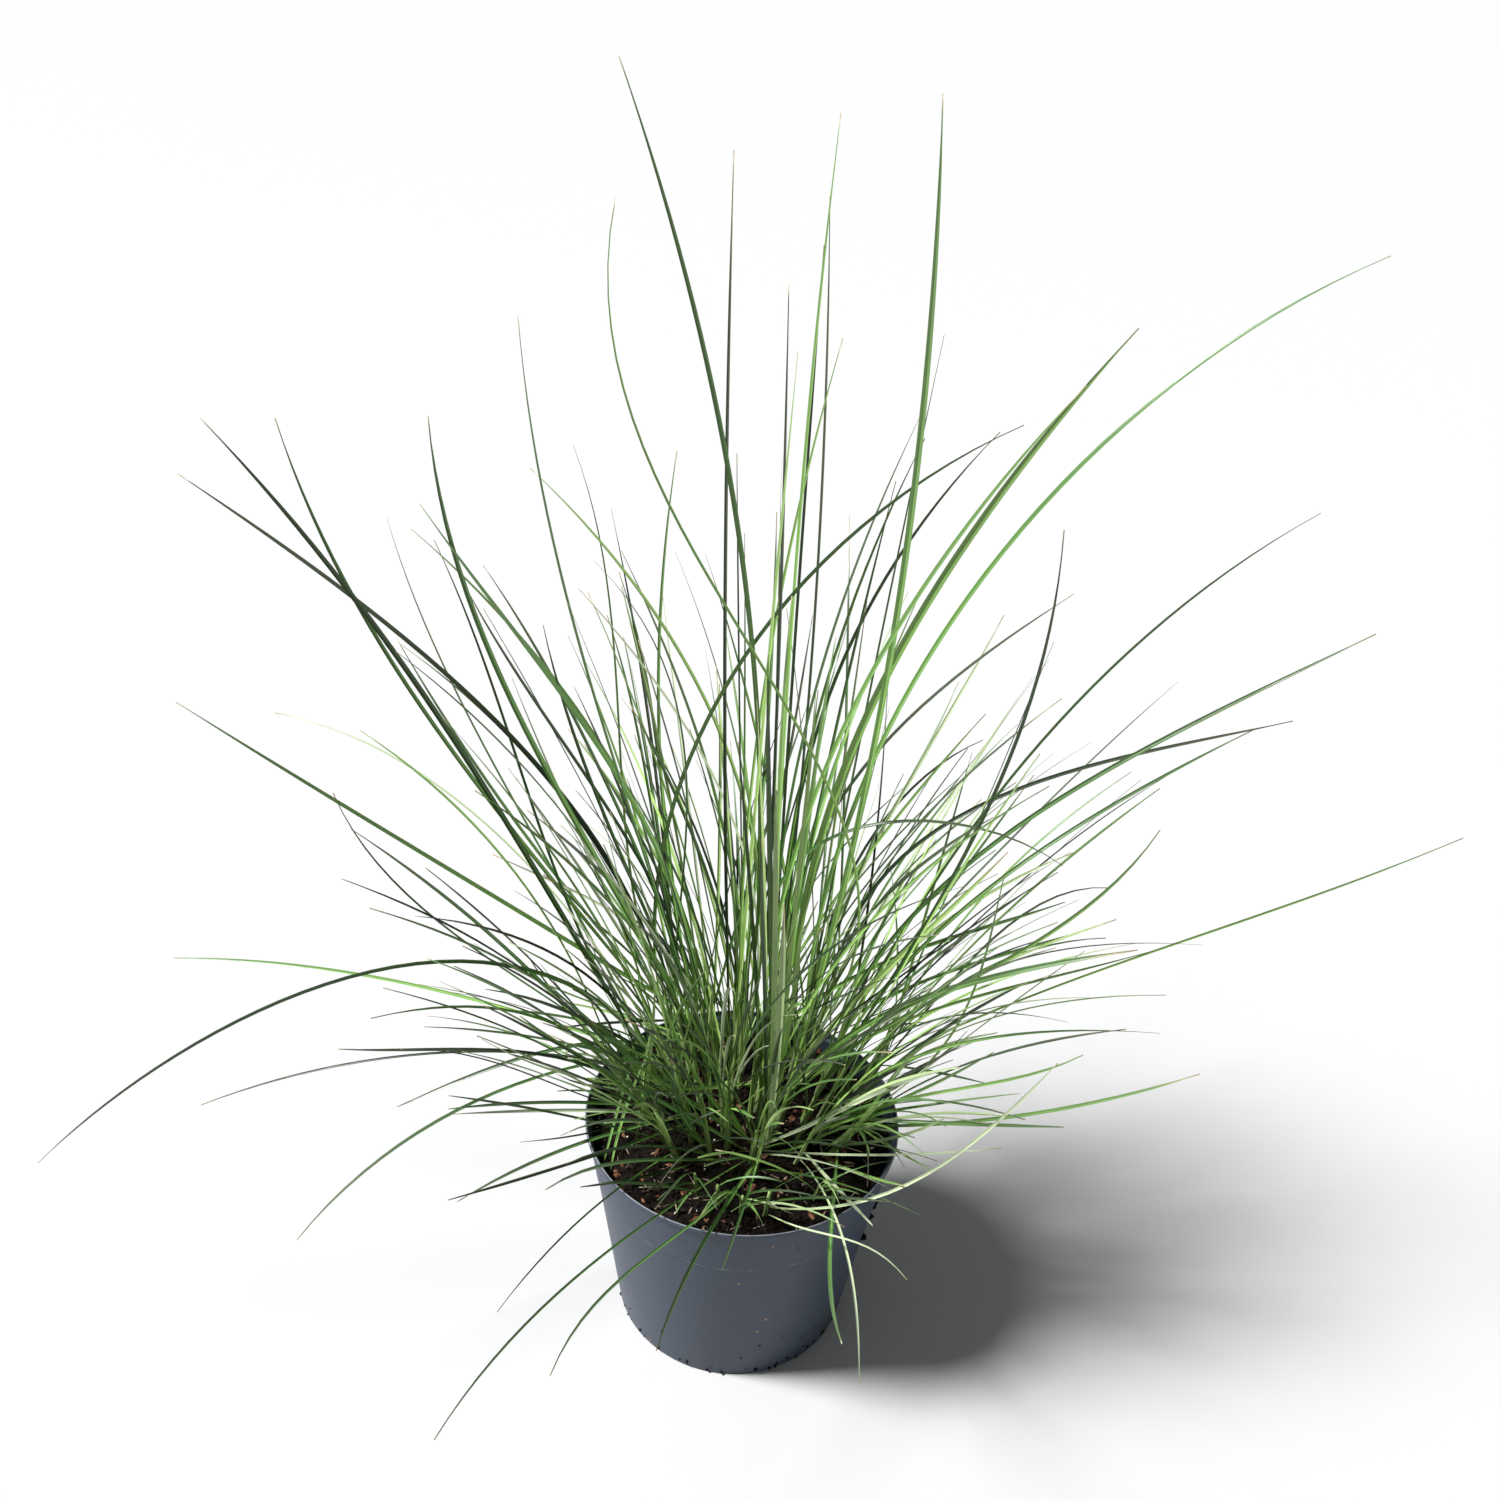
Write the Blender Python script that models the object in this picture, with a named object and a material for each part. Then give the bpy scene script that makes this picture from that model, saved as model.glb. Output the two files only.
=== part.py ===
"""Potted miscanthus grass: a plastic nursery pot, its soil, and the shoots with their long narrow leaves.

Metres, +Z up. The origin is the middle of the pot's underside, and the plant is seen from -Y.
"""

import math
import random
from collections import namedtuple

import bmesh
import bpy
import numpy as np
from mathutils import Vector, noise

# The pot
POT_HEIGHT = 0.179
RIM_RADIUS = 0.115
FOOT_RADIUS = 0.087
WALL = 0.0016
RIM_BEAD = 0.0012
RIM_BEAD_HEIGHT = 0.004
BAND_HEIGHT = 0.044
BAND_STEP = 0.0008
FOOT_CHAMFER = 0.003
FLOOR_THICKNESS = 0.0025
DRAIN_COUNT = 6
DRAIN_RADIUS = 0.0055
DRAIN_CIRCLE = 0.066
DRAIN_TURN = 0.18
ROUND_SIDES = 40

# The soil
SOIL_EDGE_BELOW_RIM = 0.017
SOIL_MOUND = 0.006
SOIL_LUMP = 0.003
SOIL_LUMP_SIZE = 0.022
SOIL_RINGS = 4
SOIL_SIDES = 20
PLAY = 0.0003

# The crown, where the shoots stand in the soil
CROWN_CENTRE = Vector((0.002, 0.012, 0.0))
CROWN_ACROSS = 0.074
CROWN_DEEP = 0.062
CROWN_SHOOTS = 43
FRONT_SHOOTS = (
    (0.003, -0.079),
    (-0.013, -0.074),
    (-0.027, -0.066),
    (0.019, -0.080),
    (0.052, -0.062),
)
SHOOT_BURIED = 0.009
SHOOT_SIDES = 5
SHOOT_LEAN = math.radians(24)
GOLDEN_ANGLE = math.pi * (3 - math.sqrt(5))

# The leaves
LEAF_KEEL = 0.28
LEAF_BASE_WIDTH = 0.6
LEAF_WIDEST_AT = 0.3
LEAF_TAPER = 1.7
LEAF_LEAST_STEPS = 3
LEAF_MOST_STEPS = 6
DEGREES_PER_STEP = 24
CLEARANCE = 0.0007
OVER_RIM = 0.0016
LEAVES_PER_SHOOT = 5
SEED = 11

# Where the plant was looked at from, so that a place in the picture is a place in the air
EYE = Vector((-0.0123, -0.8163, 0.9658))
LOOK_DOWN = math.radians(30.35)
HEAD_TILT = math.radians(-3.84)
FOCAL_PX = 1500.0
MIDDLE_PX = 750.0

# A leaf that stands out: the pixels of its tip and of the points it passes on the way down, how far
# behind the pot's axis its tip is, its width, and the pixel of its foot where that shows
Seen = namedtuple("Seen", "tip passes back width foot", defaults=(None,))
Leaf = namedtuple("Leaf", "path width shoot")
Shoot = namedtuple("Shoot", "foot top radius")

SEEN_LEAVES = (
    # Upright, at the top of the plant
    Seen((619, 56), ((667, 207), (739, 537)), 0.05, 0.0038),
    Seen((616, 196), ((609, 305), (699, 560)), -0.05, 0.0034),
    Seen((734, 150), ((728, 390),), 0.12, 0.0028),
    Seen((841, 113), ((828, 226), (790, 660)), 0.10, 0.0050),
    Seen((830, 196), ((824, 454),), 0.20, 0.0028),
    Seen((824, 245), ((811, 410),), 0.15, 0.0030),
    Seen((789, 284), ((786, 420),), 0.05, 0.0026),
    Seen((798, 352), ((788, 460),), -0.02, 0.0034),
    Seen((843, 338), ((800, 504),), 0.10, 0.0026),
    Seen((943, 93), ((936, 256), (900, 600)), 0.00, 0.0050),
    Seen((944, 335), ((915, 470),), 0.08, 0.0028),
    Seen((921, 415), ((878, 511),), 0.10, 0.0036),
    Seen((925, 438), ((884, 524),), 0.20, 0.0028),
    Seen((1024, 425), ((934, 473), (745, 655)), 0.06, 0.0034, (690, 1085)),
    Seen((1000, 432), ((916, 531),), 0.22, 0.0034),
    Seen((518, 315), ((545, 500), (600, 712)), 0.00, 0.0030),
    Seen((530, 468), ((613, 557), (700, 690)), 0.15, 0.0030),
    Seen((573, 445), ((603, 560), (616, 689)), 0.20, 0.0030),
    Seen((677, 451), ((664, 560),), 0.20, 0.0028),
    Seen((621, 550), ((653, 618), (706, 760)), 0.22, 0.0030),
    Seen((619, 572), ((646, 678), (665, 818)), 0.18, 0.0030),
    Seen((607, 615), ((628, 689), (648, 790)), 0.20, 0.0028),
    Seen((579, 589), ((644, 666), (724, 797)), 0.15, 0.0026),
    Seen((594, 561), ((665, 669), (686, 800)), 0.02, 0.0030, (677, 1095)),
    Seen((925, 583), ((905, 627),), 0.20, 0.0026),
    Seen((867, 600), ((850, 717),), 0.20, 0.0026),
    # To the right
    Seen((1139, 328), ((1043, 439), (900, 650)), 0.00, 0.0058),
    Seen((1087, 385), ((990, 497),), -0.04, 0.0040),
    Seen((1391, 256), ((1270, 318), (1004, 552)), 0.05, 0.0042),
    Seen((1074, 594), ((992, 650), (900, 728)), 0.22, 0.0036),
    Seen((1004, 615), ((958, 698), (919, 765)), 0.22, 0.0030),
    Seen((959, 681), ((942, 719), (917, 767)), 0.20, 0.0030),
    Seen((1064, 530), ((1038, 675), (939, 901)), -0.08, 0.0046),
    Seen((1321, 513), ((1185, 603), (1000, 790)), 0.10, 0.0034),
    Seen((1376, 634), ((1242, 699), (1034, 815)), 0.00, 0.0036),
    Seen((1253, 730), ((1171, 772), (1070, 831)), 0.05, 0.0032),
    Seen((1293, 721), ((1150, 751), (988, 802)), 0.10, 0.0034),
    Seen((1178, 682), ((1080, 772), (978, 874)), 0.15, 0.0032),
    Seen((992, 736), ((974, 760), (926, 818)), 0.20, 0.0028),
    Seen((983, 740), ((949, 758), (910, 790)), 0.22, 0.0028),
    Seen((1034, 775), ((1006, 813),), 0.20, 0.0026),
    Seen((1058, 872), ((989, 915), (909, 970)), 0.00, 0.0028),
    Seen((1063, 866), ((990, 832), (905, 822)), -0.02, 0.0044),
    Seen((1160, 830), ((1070, 919), (932, 1000)), -0.06, 0.0056),
    Seen((1111, 888), ((1047, 901), (992, 940)), 0.12, 0.0026),
    Seen((1065, 902), ((1001, 922), (893, 958)), 0.10, 0.0042),
    Seen((1463, 838), ((1343, 885), (1153, 951)), 0.00, 0.0038),
    Seen((1138, 950), ((1047, 965), (932, 995)), -0.04, 0.0050),
    Seen((1152, 951), ((1070, 972), (943, 1006)), 0.00, 0.0034),
    Seen((1083, 931), ((1014, 951), (932, 977)), 0.04, 0.0040),
    Seen((1106, 938), ((1035, 949),), 0.08, 0.0032),
    Seen((1083, 1055), ((1024, 1076), (918, 1096)), -0.08, 0.0046),
    Seen((1004, 876), ((987, 949), (932, 1059)), -0.06, 0.0032, (880, 1115)),
    Seen((994, 1052), ((955, 1073),), -0.05, 0.0030),
    Seen((966, 1042), ((925, 1066),), -0.03, 0.0028),
    Seen((967, 1031), ((936, 1059),), 0.00, 0.0028),
    Seen((1200, 1074), ((1077, 1106),), -0.08, 0.0052),
    Seen((1064, 1127), ((1006, 1125),), -0.06, 0.0038),
    # To the left
    Seen((38, 1163), ((218, 1030), (451, 960)), -0.06, 0.0048),
    Seen((201, 1105), ((331, 1067), (519, 1052)), -0.02, 0.0038),
    Seen((297, 1240), ((444, 1118), (603, 1062)), -0.10, 0.0042, (712, 1065)),
    Seen((338, 1049), ((478, 1049), (584, 1064)), -0.04, 0.0034),
    Seen((400, 1049), ((488, 1060), (560, 1086)), -0.06, 0.0028),
    Seen((482, 1039), ((555, 1070), (650, 1087)), -0.03, 0.0034, (745, 1098)),
    Seen((397, 1107), ((497, 1066), (593, 1043)), -0.03, 0.0036),
    Seen((448, 1109), ((519, 1103),), -0.06, 0.0032),
    Seen((448, 1200), ((538, 1173),), -0.11, 0.0032),
    Seen((457, 1202), ((538, 1160),), -0.09, 0.0034),
    Seen((174, 958), ((368, 976),), 0.10, 0.0032),
    Seen((485, 989), ((564, 1010), (631, 1043)), 0.02, 0.0034),
    Seen((474, 943), ((547, 984), (606, 1007)), 0.05, 0.0026),
    Seen((526, 953), ((547, 984),), 0.05, 0.0026),
    Seen((540, 963), ((559, 987),), 0.03, 0.0026),
    Seen((557, 1028), ((593, 1024),), 0.00, 0.0026),
    Seen((492, 854), ((555, 882), (641, 930)), 0.10, 0.0030),
    Seen((176, 702), ((440, 863), (640, 984)), 0.03, 0.0040, (745, 1060)),
    Seen((275, 713), ((419, 773), (547, 886)), 0.15, 0.0036),
    Seen((333, 793), ((402, 890), (536, 991)), 0.04, 0.0034),
    Seen((178, 474), ((302, 560), (503, 729)), 0.10, 0.0040),
    Seen((200, 418), ((324, 560), (503, 817)), 0.04, 0.0044),
    Seen((275, 418), ((309, 508), (430, 720)), 0.12, 0.0036),
    Seen((428, 416), ((476, 618), (559, 792)), 0.08, 0.0044),
    Seen((434, 540), ((472, 630), (520, 770)), 0.18, 0.0028),
    Seen((462, 580), ((518, 675), (587, 777)), 0.12, 0.0028),
    Seen((543, 625), ((564, 705), (605, 818)), 0.10, 0.0032),
    Seen((512, 678), ((554, 779),), 0.22, 0.0026),
    Seen((397, 639), ((449, 724), (528, 838)), 0.16, 0.0030),
    Seen((420, 504), ((504, 616), (612, 765)), 0.10, 0.0048),
    Seen((411, 529), ((509, 625), (600, 745)), 0.16, 0.0036),
    Seen((387, 518), ((433, 641), (479, 735)), 0.20, 0.0028),
    Seen((483, 565), ((541, 657), (600, 770)), 0.22, 0.0030),
    # Over the front of the pot
    Seen((434, 1440), ((560, 1291), (656, 1216)), -0.21, 0.0036, (723, 1167)),
    Seen((550, 1376), ((600, 1299), (676, 1236)), -0.19, 0.0042, (740, 1190)),
    Seen((497, 1312), ((587, 1213),), -0.15, 0.0036, (700, 1160)),
    Seen((656, 1351), ((691, 1264),), -0.16, 0.0042, (727, 1178)),
    Seen((842, 1344), ((830, 1277), (832, 1215)), -0.16, 0.0038, (812, 1175)),
    Seen((859, 1383), ((855, 1301), (838, 1225)), -0.19, 0.0036, (796, 1190)),
    Seen((907, 1280), ((868, 1248), (800, 1228)), -0.15, 0.0036, (748, 1205)),
    Seen((722, 1270), ((730, 1246),), -0.15, 0.0032, (748, 1205)),
    Seen((1058, 1063), ((1004, 1116), (855, 1203)), -0.11, 0.0044, (748, 1205)),
    Seen((1002, 1148), ((814, 1154),), -0.08, 0.0036, (729, 1180)),
    Seen((873, 1226), ((838, 1189),), -0.12, 0.0030, (812, 1175)),
)


def look_frame():
    """The rightward, upward and forward directions of the look at the plant."""
    right = Vector((1.0, 0.0, 0.0))
    forward = Vector((0.0, math.cos(LOOK_DOWN), -math.sin(LOOK_DOWN)))
    return right, right.cross(forward), forward


def picture_ray(pixel):
    """The way from the eye that a pixel of the picture shows."""
    right, up, forward = look_frame()
    x = (pixel[0] - MIDDLE_PX) / FOCAL_PX
    y = (MIDDLE_PX - pixel[1]) / FOCAL_PX
    across = math.cos(HEAD_TILT) * x + math.sin(HEAD_TILT) * y
    above = math.cos(HEAD_TILT) * y - math.sin(HEAD_TILT) * x
    return forward + right * across + up * above


def at_depth(pixel, y):
    """The point that shows at a pixel and lies y behind the pot's axis."""
    ray = picture_ray(pixel)
    return EYE + ray * ((y - EYE.y) / ray.y)


def at_height(pixel, z):
    """The point that shows at a pixel and lies at height z."""
    ray = picture_ray(pixel)
    return EYE + ray * ((z - EYE.z) / ray.z)


def pixel_of(point):
    """Where a point shows in the picture."""
    right, up, forward = look_frame()
    way = point - EYE
    across = way.dot(right) / way.dot(forward) * FOCAL_PX
    above = way.dot(up) / way.dot(forward) * FOCAL_PX
    x = math.cos(HEAD_TILT) * across - math.sin(HEAD_TILT) * above
    y = math.sin(HEAD_TILT) * across + math.cos(HEAD_TILT) * above
    return Vector((MIDDLE_PX + x, MIDDLE_PX - y))


def wall_radius(z):
    """The outside of the pot's plain wall at height z."""
    top = RIM_RADIUS - RIM_BEAD - BAND_STEP
    return FOOT_RADIUS + (top - FOOT_RADIUS) * z / POT_HEIGHT


def soil_height(x, y):
    """The lumpy top of the soil, which rises a little towards the crown."""
    edge = POT_HEIGHT - SOIL_EDGE_BELOW_RIM
    mound = SOIL_MOUND * max(0.0, 1.0 - (math.hypot(x, y) / RIM_RADIUS) ** 2)
    return edge + mound + SOIL_LUMP * noise.noise(Vector((x, y, 0.0)) / SOIL_LUMP_SIZE)


def lean_towards(azimuth, lean):
    """The direction that leans from upright by lean, towards azimuth."""
    return Vector((math.cos(azimuth) * math.sin(lean), math.sin(azimuth) * math.sin(lean), math.cos(lean)))


def shoot_places():
    """Even, slightly uneven spacing over the crown, as a sunflower's seeds lie, and the few at the front."""
    draw = random.Random(SEED)
    places = []
    for i in range(CROWN_SHOOTS):
        share = math.sqrt((i + 0.5) / CROWN_SHOOTS)
        turn = i * GOLDEN_ANGLE + draw.uniform(-0.12, 0.12)
        x = CROWN_CENTRE.x + CROWN_ACROSS * share * math.cos(turn)
        y = CROWN_CENTRE.y + CROWN_DEEP * share * math.sin(turn)
        places.append((x, y))
    return places + list(FRONT_SHOOTS)


def lay_out_shoots():
    """Each shoot leans away from the crown's middle, the outer ones more."""
    draw = random.Random(SEED + 1)
    shoots = []
    for x, y in shoot_places():
        out_x = (x - CROWN_CENTRE.x) / CROWN_ACROSS
        out_y = (y - CROWN_CENTRE.y) / CROWN_DEEP
        lean = SHOOT_LEAN * min(1.1, math.hypot(out_x, out_y)) + math.radians(draw.uniform(-3, 3))
        length = draw.uniform(0.050, 0.105)
        radius = draw.uniform(0.0028, 0.0042)
        if (x, y) in FRONT_SHOOTS:
            lean *= 0.6
            length *= 0.45
            radius *= 0.75
        foot = Vector((x, y, soil_height(x, y) - SHOOT_BURIED))
        shoots.append(Shoot(foot, foot + lean_towards(math.atan2(out_y, out_x), lean) * length, radius))
    return shoots


def knots_of(path):
    """The share of the way that each point of a path stands at."""
    lengths = [0.0]
    for a, b in zip(path, path[1:]):
        lengths.append(lengths[-1] + (b - a).length)
    return [length / lengths[-1] for length in lengths]


def along(path, t):
    """The point a share t along the one smooth curve through a path's three or four points."""
    knots = knots_of(path)
    point = Vector()
    for i, place in enumerate(path):
        weight = 1.0
        for j, knot in enumerate(knots):
            if j != i:
                weight *= (t - knot) / (knots[i] - knot)
        point += place * weight
    return point


def leaf_width(width, t):
    """Narrow where it leaves the shoot, widest a third of the way up, and drawn out to the tip."""
    swell = LEAF_BASE_WIDTH + (1 - LEAF_BASE_WIDTH) * min(1.0, t / LEAF_WIDEST_AT)
    taper = 1.0 - max(0.0, (t - LEAF_WIDEST_AT) / (1 - LEAF_WIDEST_AT)) ** LEAF_TAPER
    return width * swell * taper


def turn_of(path):
    """How many degrees a leaf turns from its start to its tip."""
    line = [along(path, i / 8) for i in range(9)]
    return sum(math.degrees((b - a).angle(c - b, 0.0)) for a, b, c in zip(line, line[1:], line[2:]))


def steps_of(path):
    """More steps along a leaf that turns more."""
    return max(LEAF_LEAST_STEPS, min(LEAF_MOST_STEPS, 2 + round(turn_of(path) / DEGREES_PER_STEP)))


def stretches_of(leaf):
    """(ends, half widths) of the straight stretches between the leaf's steps."""
    steps = steps_of(leaf.path)
    line = np.array([along(leaf.path, i / steps) for i in range(steps + 1)])
    half = np.array([leaf_width(leaf.width, (i + 0.35) / steps) / 2 for i in range(steps)])
    return np.stack([line[:-1], line[1:]], axis=1), half


def closest(first, second):
    """The least distance between each pair of straight stretches."""
    d1 = (first[:, 1] - first[:, 0])[:, None]
    d2 = (second[:, 1] - second[:, 0])[None]
    r = first[:, 0][:, None] - second[:, 0][None]
    a = (d1 * d1).sum(-1)
    e = (d2 * d2).sum(-1)
    b = (d1 * d2).sum(-1)
    c = (d1 * r).sum(-1)
    f = (d2 * r).sum(-1)
    s = np.clip((b * f - c * e) / np.maximum(a * e - b * b, 1e-14), 0, 1)
    t = np.clip((b * s + f) / e, 0, 1)
    s = np.clip((b * t - c) / a, 0, 1)
    return np.linalg.norm(r + s[..., None] * d1 - t[..., None] * d2, axis=-1)


def room_over_pot(leaf):
    """How far a leaf stays above the soil and clear of the pot's wall and rim."""
    steps = steps_of(leaf.path)
    corners = [along(leaf.path, i / steps) for i in range(steps + 1)]
    room = 1.0
    for a, b in zip(corners, corners[1:]):
        for k in range(9):
            point = a.lerp(b, k / 8)
            radius = math.hypot(point.x, point.y)
            if radius > RIM_RADIUS + 0.003:
                wall = radius - RIM_RADIUS - 0.002 if point.z < POT_HEIGHT else 1.0
                room = min(room, max(wall, point.z - POT_HEIGHT), point.z - 0.008)
            elif radius > RIM_RADIUS - 0.008:
                room = min(room, point.z - POT_HEIGHT - OVER_RIM - leaf.width / 2)
            else:
                room = min(room, point.z - soil_height(point.x, point.y) - leaf.width / 2 - 0.001)
    return room


class Thicket:
    """The stretches of every shoot and leaf so far, and how near another leaf would come to them."""

    def __init__(self, shoots):
        self.ends = np.array([[s.foot, s.top] for s in shoots])
        self.half = np.array([s.radius for s in shoots])
        self.owner = np.arange(len(shoots))
        self.stems = len(shoots)

    def room_for(self, leaf):
        """How far the leaf stays from the others, less their widths and the clearance."""
        ends, half = stretches_of(leaf)
        gaps = closest(ends, self.ends) - half[:, None] - self.half[None] - CLEARANCE
        own = self.owner == leaf.shoot
        near = np.linalg.norm(self.ends[:, 0] - np.array(leaf.path[0]), axis=1) < 0.05
        gaps[:, own & near] = 1.0
        gaps[:, leaf.shoot] = 1.0
        gaps[:1, own] = 1.0
        return min(gaps.min(), room_over_pot(leaf))

    def add(self, leaf):
        """Keep a leaf's stretches."""
        ends, half = stretches_of(leaf)
        self.ends = np.concatenate([self.ends, ends])
        self.half = np.concatenate([self.half, half])
        self.owner = np.concatenate([self.owner, np.full(len(half), leaf.shoot)])


def wanted_foot(seen):
    """Where in the crown a leaf of the picture is likely to stand."""
    soil = POT_HEIGHT - SOIL_EDGE_BELOW_RIM
    if seen.foot:
        return at_height(seen.foot, soil)
    tip = at_depth(seen.tip, seen.back)
    reach = (tip.xy - CROWN_CENTRE.xy) / 0.42
    if reach.length > 1:
        reach.normalize()
    return Vector((CROWN_CENTRE.x + reach.x * CROWN_ACROSS, CROWN_CENTRE.y + reach.y * CROWN_DEEP, soil))


def seen_leaf(seen, shoots, index, start, nearer):
    """A leaf of the picture that grows from start on a shoot, its tip nearer the eye by that much."""
    tip = at_depth(seen.tip, seen.back - nearer)
    pixels = [pixel_of(start)] + [Vector(p) for p in reversed(seen.passes)] + [Vector(seen.tip)]
    lengths = [0.0]
    for a, b in zip(pixels, pixels[1:]):
        lengths.append(lengths[-1] + (b - a).length)
    path = [start]
    for pixel, length in zip(pixels[1:-1], lengths[1:-1]):
        path.append(at_depth(pixel, start.y + (tip.y - start.y) * length / lengths[-1]))
    return Leaf(tuple(path + [tip]), seen.width, index)


def strain(leaf, shoots, nearer):
    """How unlikely a leaf's shape is: its turns, its start out of line with its stem, and its tip moved."""
    shoot = shoots[leaf.shoot]
    first = along(leaf.path, 0.03) - leaf.path[0]
    off_stem = math.degrees(first.angle(shoot.top - shoot.foot))
    return turn_of(leaf.path) + 0.4 * off_stem + 300 * abs(nearer)


def other_leaf(draw, shoots, index, number, attempt):
    """A leaf drawn at random for a shoot, leaning the way the shoot leans."""
    shoot = shoots[index]
    axis = (shoot.top - shoot.foot).normalized()
    start = shoot.foot.lerp(shoot.top, leaf_share(number))
    azimuth = math.atan2(axis.y, axis.x) + draw.gauss(0, 0.7 + attempt * 0.02)
    front = max(0.0, -math.sin(azimuth))
    lean = math.acos(axis.z) * draw.uniform(0.4, 1.3) + math.radians(draw.uniform(2, 12))
    fall = math.radians(draw.uniform(8, 46))
    length = draw.uniform(0.22, 0.47) * (1 - 0.5 * front)
    width = draw.uniform(0.0026, 0.0046)
    if number == 0:
        length *= 0.5
        lean += math.radians(draw.uniform(5, 35))
    if index >= CROWN_SHOOTS:
        length = draw.uniform(0.05, 0.11)
        lean += math.radians(20)
    turn = draw.uniform(-0.3, 0.3)
    bend = start + lean_towards(azimuth, lean) * length * 0.5
    tip = bend + lean_towards(azimuth + turn, lean + fall) * length * 0.5
    return Leaf((start, (start + bend * 2 + tip) / 4, tip), width, index)


def in_outline(leaf):
    """Whether a leaf drawn at random stays within the plant's outline in the picture."""
    x, y = pixel_of(leaf.path[-1])
    low = max(pixel_of(along(leaf.path, t)).y for t in (0.4, 0.6, 0.8, 1.0))
    return low < 1228 and ((x - 745) / 470) ** 2 + ((y - 1010) / 560) ** 2 < 1


def leaf_share(number):
    """How far up its shoot a leaf leaves it."""
    return 0.32 + 0.66 * number / (LEAVES_PER_SHOOT - 1)


def grow():
    """(shoots, leaves): the seen leaves first, then others until each shoot has its number of leaves."""
    shoots = lay_out_shoots()
    thicket = Thicket(shoots)
    held = [[] for _ in shoots]
    leaves = []
    for seen in sorted(SEEN_LEAVES, key=lambda s: s.foot is None):
        foot = wanted_foot(seen)
        most = LEAVES_PER_SHOOT if seen.foot else 4
        free = [i for i in range(len(shoots)) if len(held[i]) < most]
        free.sort(key=lambda i: (shoots[i].foot - foot).xy.length)
        tries = []
        for index in free[:4]:
            start = shoots[index].foot.lerp(shoots[index].top, leaf_share(len(held[index])))
            for k in range(35):
                nearer = 0.006 * ((k + 1) // 2) * (-1) ** k
                leaf = seen_leaf(seen, shoots, index, start, nearer)
                tries.append((strain(leaf, shoots, nearer), leaf))
        tries.sort(key=lambda t: t[0])
        leaf = next((t for _, t in tries if thicket.room_for(t) > 0), None)
        if leaf is None:
            print("no room for the leaf at", seen.tip)
            continue
        thicket.add(leaf)
        leaves.append(leaf)
        held[leaf.shoot].append(leaf)
    seen_count = len(leaves)
    draw = random.Random(SEED + 2)
    for index in range(len(shoots)):
        for number in range(len(held[index]), LEAVES_PER_SHOOT):
            for attempt in range(80):
                leaf = other_leaf(draw, shoots, index, number, attempt)
                if in_outline(leaf) and thicket.room_for(leaf) > 0:
                    thicket.add(leaf)
                    leaves.append(leaf)
                    break
    print(seen_count, "seen leaves,", len(leaves) - seen_count, "others")
    return shoots, leaves


def add_object(name, vertices, faces):
    """A mesh object with its faces turned outwards."""
    mesh = bpy.data.meshes.new(name)
    mesh.from_pydata([tuple(v) for v in vertices], [], faces)
    work = bmesh.new()
    work.from_mesh(mesh)
    bmesh.ops.recalc_face_normals(work, faces=work.faces)
    work.to_mesh(mesh)
    work.free()
    obj = bpy.data.objects.new(name, mesh)
    bpy.context.scene.collection.objects.link(obj)
    return obj


def tube(rings, start_point=None, end_point=None):
    """(vertices, faces) of a skin over rings of points, closed by points or by flat ends."""
    sides = len(rings[0])
    vertices = [p for ring in rings for p in ring]
    faces = []
    for r in range(len(rings) - 1):
        for i in range(sides):
            a = r * sides + i
            b = r * sides + (i + 1) % sides
            faces.append((a, b, b + sides, a + sides))
    for first, point in ((0, start_point), ((len(rings) - 1) * sides, end_point)):
        if point is None:
            faces.append(tuple(range(first, first + sides)))
            continue
        vertices.append(point)
        for i in range(sides):
            faces.append((first + i, first + (i + 1) % sides, len(vertices) - 1))
    return vertices, faces


def ring(centre, across, over, radius, sides, turn=0.0):
    """A circle of points about centre, in the plane of two directions."""
    points = []
    for i in range(sides):
        angle = turn + 2 * math.pi * i / sides
        points.append(centre + (across * math.cos(angle) + over * math.sin(angle)) * radius)
    return points


def turned(name, profile, sides):
    """A body turned about the vertical axis from (radius, height) pairs, open at neither end."""
    across = Vector((1, 0, 0))
    over = Vector((0, 1, 0))
    rings = [ring(Vector((0, 0, z)), across, over, r, sides) for r, z in profile[1:-1]]
    ends = [Vector((0, 0, profile[0][1])), Vector((0, 0, profile[-1][1]))]
    return add_object(name, *tube(rings, *ends))


def fuse(body, tools, operation):
    """Join tools to a body or cut them from it, all at once, and leave only the body."""
    group = bpy.data.collections.new(body.name + "_tools")
    for tool in tools:
        group.objects.link(tool)
    modifier = body.modifiers.new(operation.title(), "BOOLEAN")
    modifier.operation = operation
    modifier.operand_type = "COLLECTION"
    modifier.collection = group
    modifier.solver = "EXACT"
    shape = bpy.data.meshes.new_from_object(body.evaluated_get(bpy.context.evaluated_depsgraph_get()))
    body.modifiers.clear()
    body.data = shape
    for tool in tools:
        bpy.data.objects.remove(tool)
    bpy.data.collections.remove(group)
    return body


def finish_object(obj, material, smooth_angle=None):
    """Give an object its material and, for a round one, smooth shading between shallow edges."""
    obj.data.materials.clear()
    obj.data.materials.append(material)
    if smooth_angle is not None:
        obj.data.shade_smooth()
        obj.data.set_sharp_from_angle(angle=smooth_angle)


def plain_material(name, colour, roughness):
    """A material of one colour."""
    material = bpy.data.materials.new(name)
    material.use_nodes = True
    shader = material.node_tree.nodes["Principled BSDF"]
    shader.inputs["Base Color"].default_value = (*colour, 1.0)
    shader.inputs["Roughness"].default_value = roughness
    material.diffuse_color = (*colour, 1.0)
    return material


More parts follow.
